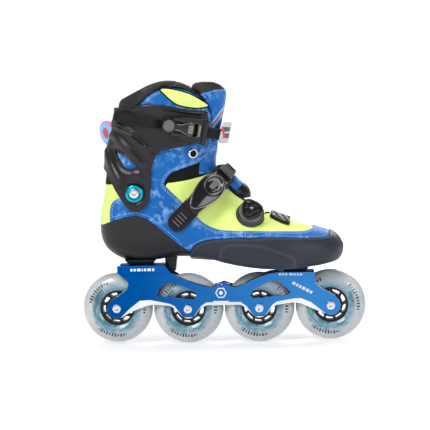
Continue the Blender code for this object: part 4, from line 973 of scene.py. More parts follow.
def piping(name, patch, level, height, radius, look, slot, keep=None, body=None):
    """A cord sewn along a level of a patch's edge."""
    bundle = Bundle()
    for rows in patch.lines("edge", level):
        closed = bool(np.allclose(rows[0], rows[-1]))
        rows = rows[:-1] if closed else rows
        if keep is not None and keep(rows[:, 0:3]).mean() < 0:
            continue
        length = length_along(rows[:, 0:3])
        at = np.linspace(0.0, length[-1], max(int(length[-1] / 1.2), 8))
        rows = resampled(rows, length, at)
        bundle.put(sweep(rows[:, 0:3] + rows[:, 3:6] * height, rows[:, 3:6], ring_section(radius), closed))
    finish_piece(bundle.make(name, look, 60.0), slot, body=body)


# ---------------------------------------------------------------- the boot
SHELL = area(
    [(-150.0, 130.0), *SHELL_EDGE[1:], (-20.0, 100.0), (150.0, 100.0), (150.0, 60.0), (-150.0, 60.0)]
)
BUMPER = area([*through(BUMPER_EDGE), (150.0, 124.0), (150.0, 60.0), (-34.5, 60.0)])
SEAM = area(
    [
        *through(
            [
                (-2.2, 103.5), (3.2, 108.2), (9.6, 110.8), (30.8, 109.9), (43.4, 108.0), (53.9, 105.2),
                (62.3, 101.9), (74.9, 96.9), (79.1, 93.6),
            ]
        ),
        (79.0, 60.0), (-4.0, 60.0),
    ]
)
INSTEP = area(
    [
        (52.0, 160.0), (40.0, 138.0), (20.0, 148.0), (0.0, 164.0), (-16.0, 180.0), (-20.0, 215.0),
        (20.0, 225.0),
    ]
)
OVER_EDGE = area([*through(LIME_EDGE), (-62.0, 230.0), (125.0, 230.0), (125.0, 140.0), (102.8, 140.0)])
SOLE = [(bottom[0], bottom[1] + SOLE_RISE) for bottom, *_ in SECTIONS[2:15]]
UNDER_SLOT = area([*SLOT_LOW, (125.0, 200.0), (150.0, 60.0), (-62.0, 60.0), (-58.6, 168.0)])


def throat(points):
    return np.minimum(INSTEP(points), THROAT_HALF - np.abs(points[:, 1]))


def shifted(field, distance):
    return lambda points: field(points) + distance


def rounded_box(half_x, half_y, corner):
    box = [(-half_x, -half_y), (half_x, -half_y), (half_x, half_y), (-half_x, half_y)]
    return eased(box, corner, 5)


def mounting_block(name, low, high, centre_x, bottom, top):
    """A moulded block under the sole, wider at the top."""
    rings = []
    for z, inset in ((low, 1.0), (low + 0.25, 0.3), (low + 1.0, 0.0), (high, 0.0)):
        share = (z - low) / (high - low)
        half = [a + (b - a) * share - inset for a, b in zip(bottom, top)]
        flat = rounded_box(*half, 3.5)
        rings.append(np.column_stack([flat[:, 0] + centre_x, flat[:, 1], np.full(len(flat), z)]))
    finish_piece(
        solid_piece(name, skinned(rings), LOOKS["block"]), "carbon_shell", "boot_shell", body="boot"
    )


def carbon_shell():
    _, obj = panel("carbon_shell", SHELL, 0.0, -2.4, LOOKS["carbon"], 0.5)
    finish_piece(obj, "carbon_shell", "boot_shell", body="boot")
    mounting_block("heel_block", 87.0, 92.4, -89.0, (13.0, 14.0), (17.0, 20.0))
    mounting_block("toe_block", 77.3, 84.6, 78.0, (12.0, 14.0), (16.0, 20.0))
    mounting_block("arch_post", 78.8, 95.6, -56.5, (5.0, 8.0), (7.0, 9.0))


def toe_bumper():
    """The leather-look guard round the toe and sides, with a stitched panel low on each side."""
    plan = area(eased([(-60.0, -27.0), (101.0, -27.0), (101.0, 29.0), (-60.0, 29.0)], 14.0, 5), (0, 1))
    opening = both(plan, lambda points: 93.0 - points[:, 2])

    def low(points):
        return points[:, 2] - 70.0

    def groove(patch):
        seam = SEAM(patch.points)
        return -0.45 * np.exp(-((seam / 0.75) ** 2)) + 0.35 * smoothstep(-0.5, 3.0, seam)

    patch, obj = panel(
        "toe_guard", both(BUMPER, outside(opening), low), 2.1, 0.1, LOOKS["bumper"], 1.2, sculpt=groove
    )
    finish_piece(obj, "bumper", "toe_bumper", body="boot")
    patch.add("seam", patch.measured(SEAM))
    for side, sign in SIDES.items():
        keep = both(on_side(sign), shifted(BUMPER, -2.0))
        stitches(
            f"bumper_seam_{side}", patch, "seam", (1.4, 3.0), 2.35, LOOKS["thread_dark"], "bumper", keep,
            "boot",
        )
        high = both(on_side(sign), lambda points: 110.0 - points[:, 0])
        stitches(
            f"bumper_edge_{side}", patch, "edge", (2.2,), 2.0, LOOKS["thread_dark"], "bumper", high,
            "boot",
        )


def lime_panels():
    """The mesh vamp under the blue overlay, and the mesh patch on the heel."""
    vamp = both(shifted(OVER_EDGE, 3.0), UNDER_SLOT, outside(throat))
    _, obj = panel("lime_vamp", vamp, -0.1, UPPER_IN, LOOKS["lime"], 0.5)
    finish_piece(obj, "upper", "upper_quarter")
    edge = [
        (-150.0, 127.0), *[(x + 3.0, z) for x, z in HEEL_LIME_EDGE], (-101.0, 172.0), (-109.0, 177.0),
        (-150.0, 177.0),
    ]
    _, obj = panel(
        "lime_heel", both(area(edge), shifted(outside(SHELL), 1.5)), 0.0, UPPER_IN, LOOKS["lime"], 0.5
    )
    finish_piece(obj, "upper", "upper_quarter")
    edge = [
        (-150.0, 174.0), (-116.0, 174.5), (-109.5, 173.0), (-104.5, 166.5), (-97.0, 163.0),
        (-94.0, 200.0), (-97.0, 214.0), (-150.0, 214.0),
    ]
    _, obj = panel("achilles_pad", area(edge), 0.9, UPPER_IN, LOOKS["black_mesh"], 0.9)
    finish_piece(obj, "lining", "upper_quarter", "ankle_upper")


def blue_upper():
    """The coated overlay: quarter, toe strip and ankle flap in one piece, with its rows of stitching."""
    edge = [
        (125.0, 140.0),
        (102.8, 140.0),
        *through(LIME_EDGE),
        (-59.5, 174.5),
        *through(SLOT_HIGH[1:]),
        *through(COLLAR_LOW),
        (-150.0, 205.0), (-108.0, 205.0), (-100.0, 182.0), (-99.0, 164.0),
        *through(HEEL_LIME_EDGE[::-1]),
        (-118.9, 90.0), (150.0, 90.0), (150.0, 120.0),
    ]
    outline = area(edge)
    field = both(outline, shifted(outside(SHELL), 1.0), shifted(outside(BUMPER), -0.25))
    patch = SKIN.part(field)
    patch.slice_rim(0.6, (0.08, 0.3, 1.0, 5.2))
    top = rounded(patch["edge"], 1.15, 0.6)
    bottom = np.where(patch["edge"] > 3.0, UPPER_IN, 0.15)
    obj = patch.solid("blue_upper", top, bottom, LOOKS["blue"])
    finish_piece(obj, "upper", "upper_quarter", "ankle_upper")
    seams = shifted(outside(BUMPER), -4.5)
    high = shifted(outside(SHELL), -2.0)
    for side, sign in SIDES.items():
        keep = both(on_side(sign), seams, high)
        stitches(
            f"upper_stitching_{side}", patch, "edge", (1.9, 3.4), 1.12, LOOKS["thread_blue"], "upper",
            keep,
        )
        low = both(
            on_side(sign), lambda points: 3.0 - np.abs(BUMPER(points) + 3.0),
            lambda points: 112.0 - points[:, 0],
        )
        stitches(f"strip_stitching_{side}", patch, "edge", (2.0,), 1.12, LOOKS["thread_blue"], "upper", low)


def throat_bands():
    """A blue band along each side of the throat, over the mesh."""
    line = np.array(
        [
            (-4.0, 176.0), (0.0, 172.0), (7.9, 166.1), (21.6, 156.2), (25.8, 152.9), (40.0, 145.5),
            (48.0, 142.0),
        ]
    )
    closing = [(48.0, 170.0), (10.0, 190.0), (-4.0, 190.0)]
    field = both(area([*line, *closing]), shifted(outside(throat), -0.3), UNDER_SLOT)
    patch, obj = panel("throat_bands", field, 1.05, 0.05, LOOKS["blue"], 0.5)
    finish_piece(obj, "upper", "upper_quarter")
    stitches(
        "throat_stitching", patch, "edge", (1.7,), 1.0, LOOKS["thread_blue"], "upper",
        shifted(outside(throat), -1.0),
    )


def slot_mesh():
    """Black mesh in the flexible slot behind the instep strap, and the blue wing in front of it."""
    edge = [
        *SLOT_LOW[::-1], (-63.0, 174.0), (-62.0, 180.0), *[(x - 3.5, z + 3.5) for x, z in SLOT_HIGH[2:8]],
        (-9.0, 212.0),
    ]
    wing = area([(-22.5, 184.0), (-21.0, 200.0), (-14.0, 214.0), (-9.0, 224.0), (2.0, 224.0), (4.0, 184.0)])
    around = both(area(edge), outside(throat), outside(wing))
    _, obj = panel("slot_mesh", around, -0.7, -2.7, LOOKS["black_mesh"], 0.4)
    finish_piece(obj, "lining", "upper_quarter", "ankle_upper")
    _, obj = panel("slot_wing", both(wing, outside(throat)), -0.2, -2.7, LOOKS["blue_tongue"], 0.4)
    finish_piece(obj, "upper", "upper_quarter", "ankle_upper")


def liner():
    """The padded bootie inside, thicker above the ankle."""
    edge = [
        (150.0, 96.0), *SOLE, (-150.0, 110.0), (-150.0, 243.0), *COLLAR_TOP[1:-2], (-9.6, 251.0),
        (-9.2, 222.0), (-12.0, 206.0), (-17.0, 196.0), (60.0, 160.0), (150.0, 130.0),
    ]

    def inside(patch):
        return -5.2 - 3.8 * smoothstep(6.0, 18.0, hinge_height(patch.points))

    _, obj = pad(
        "liner_padding", both(area(edge), outside(shifted(throat, 0.5))), -2.95, inside, LOOKS["lining"],
        1.1,
    )
    finish_piece(obj, "lining", "liner", "collar_padding")


def collar_roll():
    """The stuffed roll round the top of the boot."""
    edge = [*through(COLLAR_TOP), (-9.6, 245.0), *through(COLLAR_LOW)]
    field = area(edge)
    patch, obj = pad("collar_roll", shifted(field, 0.4), 1.0, -10.5, LOOKS["collar"], 5.0)
    puff(obj, np.tile(patch["edge"] < 0.15, 2), most=1.6)
    finish_piece(obj, "lining", "collar_padding")


def over_line(points, line):
    """Height over a line drawn in side view."""
    x, z = np.array(line).T
    return points[:, 2] - np.interp(points[:, 0], x, z)


def tongue():
    """The padded tongue, with printed stripes across it and a black tab at the top."""
    side = [
        (49.0, 160.0), (39.6, 139.6), (20.5, 149.4), (0.5, 165.4), (-15.0, 180.0), (-17.0, 195.0),
        (-13.0, 206.0), (-8.2, 217.0), (-7.6, 240.0), (-8.3, 252.2), (-13.7, 263.0), (-23.2, 273.4),
        (-31.0, 277.4), (-23.2, 280.2), (-15.6, 281.9), (-4.8, 282.1), (1.7, 280.2), (6.0, 275.8),
        (9.0, 268.0), (30.0, 262.0), (60.0, 200.0),
    ]
    half = [(24.0, 212.0), (30.0, 230.0), (37.0, 248.0), (44.0, 262.0), (50.0, 290.0)]
    low = [(16.4, 199.0), (16.4, 120.0)]
    face = [*half[::-1], *low, *[(-y, z) for y, z in low[::-1]], *[(-y, z) for y, z in half]]
    base = Patch(COARSE.data, COARSE.faces, COARSE.names)
    arch = [(-14.0, 228.0), (-7.1, 240.1), (0.6, 250.6), (6.2, 258.0), (8.0, 260.5)]
    seam = [(-32.0, 263.5), (-20.2, 268.1), (-14.8, 270.1), (-4.0, 273.1), (7.8, 274.4)]
    base.add("arch", over_line(base.points, arch))
    base.add("tab", over_line(base.points, seam))
    for column, levels in (("arch", (0.0, -3.0, -6.0, -9.0)), ("tab", (0.0, 0.8))):
        for level in levels:
            base.slice(column, level)

    def tagged(patch):
        arch = patch["arch"][patch.faces].mean(axis=1)
        tab = patch["tab"][patch.faces].mean(axis=1)
        return np.select([tab > 0.0, arch > 0.0, arch > -3.0, arch > -6.0, arch > -9.0], [1, 0, 2, 3, 2], 0)

    def top(patch):
        return -0.6 + 0.5 * smoothstep(196.0, 214.0, patch.points[:, 2])

    def bottom(patch):
        return -6.5 - 3.0 * smoothstep(200.0, 216.0, patch.points[:, 2])

    looks = [LOOKS["blue_tongue"], LOOKS["collar"], LOOKS["sky"], LOOKS["red"]]
    patch, obj = pad("tongue", both(area(side), area(face, (1, 2))), top, bottom, looks, 2.8, base, tagged)
    held = (patch["edge"] < 0.3) | (patch.points[:, 2] < 214.0) | (np.abs(patch["tab"]) < 0.3)
    puff(obj, np.tile(held | (np.abs(patch["arch"]) < 0.05), 2), most=1.5)
    finish_piece(obj, "tongue", "tongue_lower", "tongue_top")
    stitches("tongue_stitching", patch, "tab", (-1.2,), -0.1, LOOKS["thread_blue"], "tongue")


def collar_panel():
    """The lime leaf under the collar, edged with black piping."""
    leaf = area(through(COLLAR_PANEL, closed=True))
    patch, obj = panel("collar_panel", leaf, 1.9, 1.0, LOOKS["lime"], 0.4)
    finish_piece(obj, "upper", "ankle_upper")
    piping("collar_piping", patch, 0.02, 1.5, 0.85, LOOKS["piping"], "upper")


def insole():
    """The footbed, which shows down the leg opening."""
    field = area([(118.0, 60.0), (118.0, 92.4), *[p for p in SOLE if p[0] < 118.0], (-124.0, 60.0)])
    patch = COARSE.part(field)
    line = np.array(sorted(SOLE))
    level = np.interp(patch.points[:, 0], line[:, 0], line[:, 1])
    rise = (level - patch.points[:, 2]) / np.clip(-patch.normals[:, 2], 0.3, 1.0)
    inside = -2.9 - np.clip(rise - 2.9, 0.3, 4.0)
    obj = patch.solid("footbed", -2.95, inside, LOOKS["lining"])
    finish_piece(obj, "lining", "insole", body="boot")


# ---------------------------------------------------------------- the cuff
def pivot_reach(sign):
    """How far the skin is from the middle plane at the cuff's hinge."""
    heading = Vector((0.0, -sign, 0.0))
    return abs(TREE.ray_cast(Vector((PIVOT[0], sign * RAY_START, PIVOT[1])), heading)[0].y)


def crease(flat, line, height):
    """A raised fold beside a line in side view: sharp towards the front, soft towards the back."""
    near = to_line(flat, line)
    a, b = line[0], line[-1]
    front = (flat[:, 0] - a[0]) * (b[1] - a[1]) - (flat[:, 1] - a[1]) * (b[0] - a[0]) < 0
    from_a = smoothstep(0.0, 7.0, np.linalg.norm(flat - a, axis=1))
    from_b = smoothstep(0.0, 7.0, np.linalg.norm(flat - b, axis=1))
    fade = np.where(front, 1 - smoothstep(0.0, 2.2, near), 1 - smoothstep(0.0, 9.0, near))
    return height * (from_a * from_b) * fade


def cuff():
    """The hinged cuff: a raised rim, creased facets, a window each side and flat washer seats."""
    outline = joined(through(CUFF_TOP, 4), through(CUFF_FRONT, 4), through(CUFF_LOW, 4))
    window = area(eased(CUFF_WINDOW, 2.0))
    hole = area(ellipse(PIVOT, (4.4, 4.4)))
    body = both(area(outline), outside(window), outside(hole))
    rim = through(CUFF_TOP, 4)
    reach = {sign: pivot_reach(sign) for sign in (-1, 1)}

    def sculpt(patch):
        points = patch.points
        flat = points[:, [0, 2]]
        height = 0.9 * (1 - smoothstep(3.2, 4.6, to_line(flat, rim)))
        for line, depth in CUFF_CREASES:
            height += crease(flat, through(line, 5), depth)
        height -= 1.9 * (1 - smoothstep(0.3, 7.0, -window(points)))
        from_pivot = np.linalg.norm(flat - PIVOT, axis=1)
        height += 0.5 * smoothstep(14.5, 12.6, from_pivot)
        return height

    patch = FINE.part(body)
    patch.slice_rim(1.1, (0.1, 0.35, 0.65, 1.0))
    top = rounded(patch["edge"], 4.7, 1.1) + sculpt(patch) * smoothstep(0.0, 2.2, patch["edge"])
    from_pivot = np.linalg.norm(patch.points[:, [0, 2]] - PIVOT, axis=1)
    seat = np.where(patch.points[:, 1] < 0, reach[-1], reach[1]) + WASHER_SEAT
    seat = (seat - np.abs(patch.points[:, 1])) / np.maximum(np.abs(patch.normals[:, 1]), 0.3)
    share = smoothstep(11.6, 10.7, from_pivot)
    top = top * (1 - share) + seat * share
    obj = patch.solid("cuff_plastic_shell", top, 1.6, LOOKS["cuff"], smooth_deg=50.0)
    finish_piece(obj, "cuff_plastic", "cuff", body="cuff")


def pivot_place(sign, out):
    turn = Matrix.Rotation(-sign * math.pi / 2, 4, "X")
    return Matrix.Translation((PIVOT[0] * MM, (SIDE + sign * out) * MM, PIVOT[1] * MM)) @ turn


def socket_head(radius, top_radius, low, high, socket, depth):
    """The upper part of a lathe profile: a chamfered head with a hex socket."""
    return [
        (radius, low),
        (radius, low + 0.4),
        (top_radius + 0.35, high - 0.12),
        (top_radius, high),
        (socket + 0.35, high),
        (socket, high - 0.35, 1),
        (socket, high - depth, 1),
        (0.05, high - depth - 0.5),
    ]


def pivot_bolts():
    """On each side, a machined bolt over a cyan washer."""
    for side, sign in SIDES.items():
        place = pivot_place(sign, pivot_reach(sign) + WASHER_SEAT)
        washer = [
            (4.5, 0.3), (9.6, 0.3), (9.9, 0.6), (9.7, 1.1), (8.6, 2.1), (8.1, 2.35), (6.9, 2.35),
            (6.4, 2.1), (4.5, 2.1),
        ]
        obj = solid_piece(f"pivot_washer_{side}", lathe(washer, closed=True), LOOKS["cyan"], place, 30.0)
        finish_piece(obj, "washer_cyan", f"cuff_washer_{side}", body="boot")
        head = socket_head(5.6, 4.3, 2.5, 4.5, 2.2, 1.8)
        obj = solid_piece(
            f"pivot_bolt_{side}", lathe([(3.7, -11.0), (3.7, 2.5), *head]), LOOKS["steel"], place, 30.0
        )
        finish_piece(obj, "steel", f"cuff_bolt_{side}", body="boot")


def rear_badge():
    """The domed badge on the back of the cuff: a black foot, a pink rim, a cyan field and a red middle."""
    lean = Matrix.Rotation(math.radians(-100.0), 4, "Y")
    turn = Matrix.Rotation(math.radians(BADGE_TURN_DEG), 4, "Z") @ lean
    place = Matrix.Translation((-117.0 * MM, (SIDE - 8.5) * MM, 231.0 * MM)) @ turn
    bundle = Bundle()
    for tag, radii, low, high, radius in (
        (3, (9.5, 8.4), -5.0, 4.4, 0.6),
        (0, (13.0, 11.6), 3.6, 8.0, 1.0),
        (1, (10.8, 9.4), 6.4, 8.6, 0.6),
        (2, (5.8, 4.6), 7.6, 9.2, 0.6),
    ):
        bundle.put(dome(ellipse((0, 0), radii, count=56), low, high, radius), tag)
    obj = bundle.make(
        "domed_badge", [LOOKS["pink"], LOOKS["sky"], LOOKS["red"], LOOKS["strap"]], 40.0, place
    )
    finish_piece(obj, "badge", "rear_badge", body="cuff")


def eyelets():
    """A pressed metal eyelet with a dark hole on each side of the flap."""
    for side, sign in SIDES.items():
        place = seat_on_skin(-28.8, 206.1, sign)
        ring = [(3.5, 0.9), (3.5, 1.8), (3.9, 2.3), (4.6, 2.35), (5.2, 1.9), (5.5, 1.2), (5.5, 0.9)]
        obj = solid_piece(f"eyelet_{side}", lathe(ring, 48, closed=True), LOOKS["steel"], place, 40.0)
        finish_piece(obj, "steel", "ankle_upper", body="cuff")
        obj = solid_piece(
            f"eyelet_hole_{side}", lathe([(3.6, 0.9), (3.6, 1.35), (0.05, 1.25)], 32), LOOKS["piping"],
            place,
        )
        finish_piece(obj, "lining", "ankle_upper", body="cuff")


def seat_on_skin(x, z, sign, direction=(1.0, 0.0, 0.0)):
    """A place on the skin whose local Z is its outward normal."""
    point, normal, _, _ = TREE.ray_cast(Vector((x, sign * RAY_START, z)), Vector((0.0, -sign, 0.0)))
    normal = normal if normal.y * sign > 0 else -normal
    along = Vector(direction)
    along = (along - normal * along.dot(normal)).normalized()
    place = Matrix((along, normal.cross(along), normal)).transposed().to_4x4()
    place.translation = (point + Vector((0.0, SIDE, 0.0))) * MM
    return place


# ---------------------------------------------------------------- straps and buckles
class Girth:
    """A strap's plane, from a point and a direction in x and z. Angle 0 is in front, -90 outside."""

    def __init__(self, line, lift):
        (x, z), (along_x, along_z) = line
        self.centre = Vector((x, 0.0, z))
        self.along = Vector((along_x, 0.0, along_z)).normalized()
        self.lift = np.array(lift, float)
        self.angles = np.linspace(self.lift[0, 0] - 12.0, self.lift[-1, 0] + 12.0, 400)
        hits = []
        for a in np.radians(self.angles):
            heading = Vector((0.0, math.sin(a), 0.0)) + self.along * math.cos(a)
            hits.append(TREE.ray_cast(self.centre, heading)[0])
        self.hits = np.array(hits)
        tangent = np.gradient(self.hits, axis=0)
        across = np.cross(np.array(self.along), (0.0, 1.0, 0.0))
        self.out = np.cross(tangent, across)
        self.out /= np.linalg.norm(self.out, axis=1, keepdims=True)
        self.out *= np.sign((self.out * (self.hits - np.array(self.centre))).sum(axis=1, keepdims=True))

    def path(self, offset, start, end, step=0.65):
        """Evenly spaced points at an offset from the strap's inner face, and the way out at each."""
        lift = np.interp(self.angles, self.lift[:, 0], self.lift[:, 1])
        points = self.hits + self.out * (lift + offset)[:, None]
        mask = (self.angles >= start) & (self.angles <= end)
        points, out = points[mask], self.out[mask]
        length = length_along(points)
        at = np.arange(0.0, length[-1], step)
        return resampled(points, length, at), resampled(out, length, at)


ANKLE_GIRTH = Girth(((-55.0, 236.6), (0.98, -0.2)), [(-156, 6.0), (-120, 6.6), (60, 6.6), (104, 6.0)])
INSTEP_GIRTH = Girth(
    ((-24.0, 155.1), (0.715, 0.699)),
    [(-84, 6.8), (-46, 7.4), (-18, 13.6), (18, 13.6), (44, 6.5), (75, 1.8), (122, 1.1)],
)


def ratchet_strap(name, girth, half_width, pitch, slot, replaced, body):
    """A moulded strap with a smooth rail along each edge and a ladder of teeth between them."""
    step = pitch / 4
    path, out = girth.path(0.0, girth.lift[0, 0], girth.lift[-1, 0], step)
    depth = 0.9 * np.array([0.1, 0.35, 0.7, 1.0])[np.arange(len(path)) % 4]
    ends = np.minimum(np.arange(len(path)), np.arange(len(path))[::-1]) * step
    depth = np.where(ends < 6.0, 0.0, depth)
    taper = np.sqrt(np.clip(1 - (1 - np.clip(ends / half_width, 0.0, 1.0)) ** 2, 0.05, 1.0))
    sections = []
    for down, share in zip(depth, taper):
        hw = half_width * share
        rail = 1.5 * share
        right = [(hw, 0.25), (hw, 1.6), (hw - 0.3, 1.9), (hw - rail, 1.9), (hw - rail - 0.3, 1.9 - down)]
        left = [(-x, y) for x, y in right[::-1]]
        sections.append([(hw - 0.3, 0.0), *right, *left, (-hw + 0.3, 0.0)])
    obj = solid_piece(name, sweep(path, out, sections), LOOKS["strap"], smooth_deg=28.0)
    finish_piece(obj, slot, *replaced, body=body)


def strap_base():
    """The fixed strap low on the outer side: a raised frame round a sunk panel with four raised bars,
    coloured grey as a painted highlight on them.
    """
    start, end = np.array((-46.0, 133.6)), np.array((-22.0, 157.0))
    run = (end - start) / np.linalg.norm(end - start)
    across = np.array((-run[1], run[0]))
    heading = math.degrees(math.atan2(run[1], run[0]))
    nose = arc(start, 10.0, heading + 90, heading + 270, 14)
    band = area([*nose, *(end - across * 10.0)[None], *(end + across * 10.0)[None]])

    def sculpt(patch):
        flat = patch.points[:, [0, 2]] - start
        along, side = flat @ run, flat @ across
        return -1.3 * smoothstep(0.6, -0.6, np.maximum(np.abs(side) - 6.4, np.abs(along - 4.0) - 9.0))

    patch, obj = panel(
        "instep_strap_root", both(band, on_side(-1)), 4.4, 0.6, LOOKS["strap"], 1.0, FINE, sculpt
    )
    finish_piece(obj, "strap_plastic", "instep_strap_base", body="boot")
    # The bars are real ridges; their grey colour is a painted highlight.
    for k in range(4):
        middle = start + run * (-2.0 + 3.9 * k)
        place = seat_on_skin(*middle, -1, (run[0], 0.0, run[1]))
        obj = solid_piece(
            f"instep_strap_bar_{k + 1}", dome(rounded_box(0.6, 5.0, 0.4), 2.6, 4.3, 0.3), LOOKS["grey"],
            place,
        )
        finish_piece(obj, "strap_plastic", body="boot")


def shin_pad():
    """The pale rubber pad in front, with plain stripes where a print would be."""
    side = [(-9.0, 217.5), (30.0, 219.5), (30.0, 241.0), (-4.0, 241.0)]
    patch = SKIN.part(area(eased(side, 3.0)))
    patch.slice_rim(0.7, (0.1, 0.35, 1.0))
    for name, k in (("x", 0), ("z", 2)):
        patch.add(name, patch.points[:, k])
    for level in (-6.0, -4.2, 0.5):
        patch.slice("x", level)
    for level in (223.5, 228.6, 231.0, 236.0):
        patch.slice("z", level)
    x, z = patch["x"][patch.faces].mean(axis=1), patch["z"][patch.faces].mean(axis=1)
    tall = (z > 223.5) & (z < 236.0)
    red = (x > -6.0) & (x < -4.2) & tall
    black = (x > -4.2) & (x < 0.5) & tall & ((z < 228.6) | (z > 231.0))
    tags = np.select([red, black], [1, 2], 0)
    looks = [LOOKS["white"], LOOKS["red"], LOOKS["print_dark"]]
    obj = patch.solid("shin_rubber", rounded(patch["edge"], 10.9, 0.7), 9.1, looks, tags)
    finish_piece(obj, "shin_pad", "shin_pad", body="cuff")


def joint_place(prefix):
    """A buckle's local frame at its pin: X forwards along the strap, Y across it and Z outwards."""
    lever, pawl = (JOINTS[f"{prefix}_{kind}_turn"] for kind in ("lever", "pawl"))
    pin, pawl_pin = Vector(lever["pos_m"]), Vector(pawl["pos_m"])
    across = Vector(lever["axis"]).normalized()
    forwards = (pawl_pin - pin).normalized()
    out = forwards.cross(across)
    if out.y > 0:
        across, out = -across, -out
    place = Matrix((forwards, across, out)).transposed().to_4x4()
    place.translation = pin
    return place


def bevelled(node, look, width=0.3, segments=2):
    """A CAD node that is shown as it is, with softened edges."""
    obj = frame["nodes"][node]
    obj.data.materials.clear()
    obj.data.materials.append(look)
    weld = obj.modifiers.new("weld", "WELD")
    weld.merge_threshold = 2e-6
    bevel = obj.modifiers.new("bevel", "BEVEL")
    bevel.width = width * MM
    bevel.segments = segments
    bevel.limit_method = "ANGLE"
    bevel.angle_limit = math.radians(28.0)
    bevel.harden_normals = True


def add_knuckle(bundle, half):
    """The lever's barrel round its pin, and the web that joins it to the plate."""
    line = np.column_stack([np.zeros(2), (-half, half), np.zeros(2)])
    bundle.put(sweep(line, [(0, 0, 1)] * 2, ring_section(KNUCKLE_RADIUS, 20)))
    web = ((-2.4, 0.0), (1.6, 0.0), (1.6, 3.4), (-2.4, 3.4))
    bundle.put(skinned([[(x, y, z) for x, z in web] for y in (-half, half)]))


def ankle_buckle():
    """The glossy lever with its round dished grip and small steel plates, and the base's forked front."""
    place = joint_place("ankle")

    def dished(p):
        return -0.5 * np.exp(-((p[:, 0] + 24.0) ** 2 + p[:, 1] ** 2) / 12.0)

    waist = [(-17.0, 2.8), (-11.5, 2.6), (-6.0, 4.8), (-2.5, 6.1), (2.8, 6.1), (3.2, 5.0)]
    trim = [(x, min(y + 0.9, 6.4)) for x, y in waist]
    grip = joined(arc((-24.0, 0.0), 7.6, 28, 332, 28), [(x, -y) for x, y in waist], waist[::-1])
    bundle = Bundle()
    bundle.put(dome(joined([(x, -y) for x, y in trim], trim[::-1]), 2.6, 4.9, 0.5, (-5.0, 0.0)), 2)
    bundle.put(
        dome(eased(grip, 1.0, 2), 2.9, 5.4, 0.8, (-13.0, 0.0), lambda p: 0.5 * np.cos(p[:, 1] / 7.0))
    )
    bundle.put(dome(ellipse((-24.0, 0.0), (5.9, 5.9), count=40), 5.0, 6.5, 0.8, (-24.0, 0.0), dished), 1)
    bundle.put(dome(rounded_box(2.8, 4.6, 1.2) - (0.4, 0.0), 5.2, 6.3, 0.4, (-0.4, 0.0)), 2)
    add_knuckle(bundle, 6.2)
    obj = bundle.make("ankle_lever_grip", [LOOKS["gloss"], LOOKS["grey"], LOOKS["dark_steel"]], 35.0, place)
    finish_piece(obj, "buckle_plastic", "ankle_buckle_lever", body="ankle_lever")
    fork = Bundle()
    for sign in (-1, 1):
        prong = [
            (-13.0, 9.0), (-12.0, 11.6), (8.0, 12.8), (17.0, 14.0), (19.5, 12.5), (19.5, 8.6), (10.0, 9.2)
        ]
        prong = np.array(prong) * (1, sign)
        prong = prong if sign > 0 else prong[::-1]
        fork.put(dome(eased(prong, 1.6, 3), 0.4, 3.4, 0.9, (4.0, sign * 10.9)))
    bar = [(13.0, -13.6), (17.6, -13.6), (17.6, 13.6), (13.0, 13.6)]
    fork.put(dome(eased(bar, 1.4, 3), 3.0, 5.2, 0.8, (15.3, 0.0)))
    obj = fork.make("ankle_buckle_fork", LOOKS["gloss"], 35.0, place)
    finish_piece(obj, "buckle_plastic", body="cuff")


def instep_buckle():
    """The egg-shaped lever: a domed plate with a ring round a dished middle, and in the dish a grey block
    that is a painted highlight.
    """
    place = joint_place("instep")
    middle, eye = (-24.5, 0.0), (-14.0, 0.0)

    def egg(grow):
        turn = np.linspace(0.0, 2 * math.pi, 72, endpoint=False)
        half = (12.4 + grow) * np.sin(turn) * (1 + 0.28 * np.cos(turn))
        return np.column_stack([middle[0] + (24.0 + grow) * np.cos(turn), half])

    def crown(p):
        r = np.hypot((p[:, 0] - eye[0]) / 12.8, p[:, 1] / 10.2)
        edge = np.hypot((p[:, 0] - middle[0]) / 26.5, p[:, 1] / 13.6)
        lip = 0.6 * np.exp(-(((r - 0.95) / 0.12) ** 2))
        dish = 1.6 * smoothstep(0.9, 0.7, r)
        return 1.4 * (1 - edge**2) + lip - dish

    bundle = Bundle()
    bundle.put(dome(egg(0.8), 2.6, 4.9, 0.6, middle), 2)
    bundle.put(dome(egg(0.0), 2.9, 5.6, 0.9, middle, crown, steps=18))
    rim = [(1.0, 0.0), (1.0, 1.0), (0.94, 1.25), (0.88, 1.0), (0.88, 0.0)]
    a = np.linspace(0.0, 2 * math.pi, 64, endpoint=False)
    rings = [
        np.column_stack([eye[0] + 12.2 * r * np.cos(a), 9.8 * r * np.sin(a), np.full(64, 6.2 + z)])
        for r, z in rim
    ]
    bundle.put(skinned(rings, closed=True), 2)
    # Painted highlight: a grey block stands in the dish where the highlight falls.
    bundle.put(dome(rounded_box(5.0, 3.0, 1.4) + eye, 4.6, 7.1, 0.7, eye), 1)
    add_knuckle(bundle, 7.5)
    obj = bundle.make(
        "instep_lever_plate", [LOOKS["gloss"], LOOKS["grey"], LOOKS["dark_steel"]], 35.0, place
    )
    finish_piece(obj, "buckle_plastic", "instep_buckle_lever", body="instep_lever")


# ---------------------------------------------------------------- lacing
# The visor's crown from the shin down: x, z, half-width, and how far its edges drop below the crown.
VISOR_CROWN = [
    (2.5, 194.0, 17.0, 11.0),
    (7.0, 189.8, 17.5, 13.0),
    (13.0, 183.5, 18.0, 14.5),
    (19.5, 176.5, 18.0, 15.5),
    (26.0, 170.5, 18.0, 16.0),
    (29.8, 164.0, 16.5, 15.0),
    (30.6, 157.5, 13.0, 11.0),
]


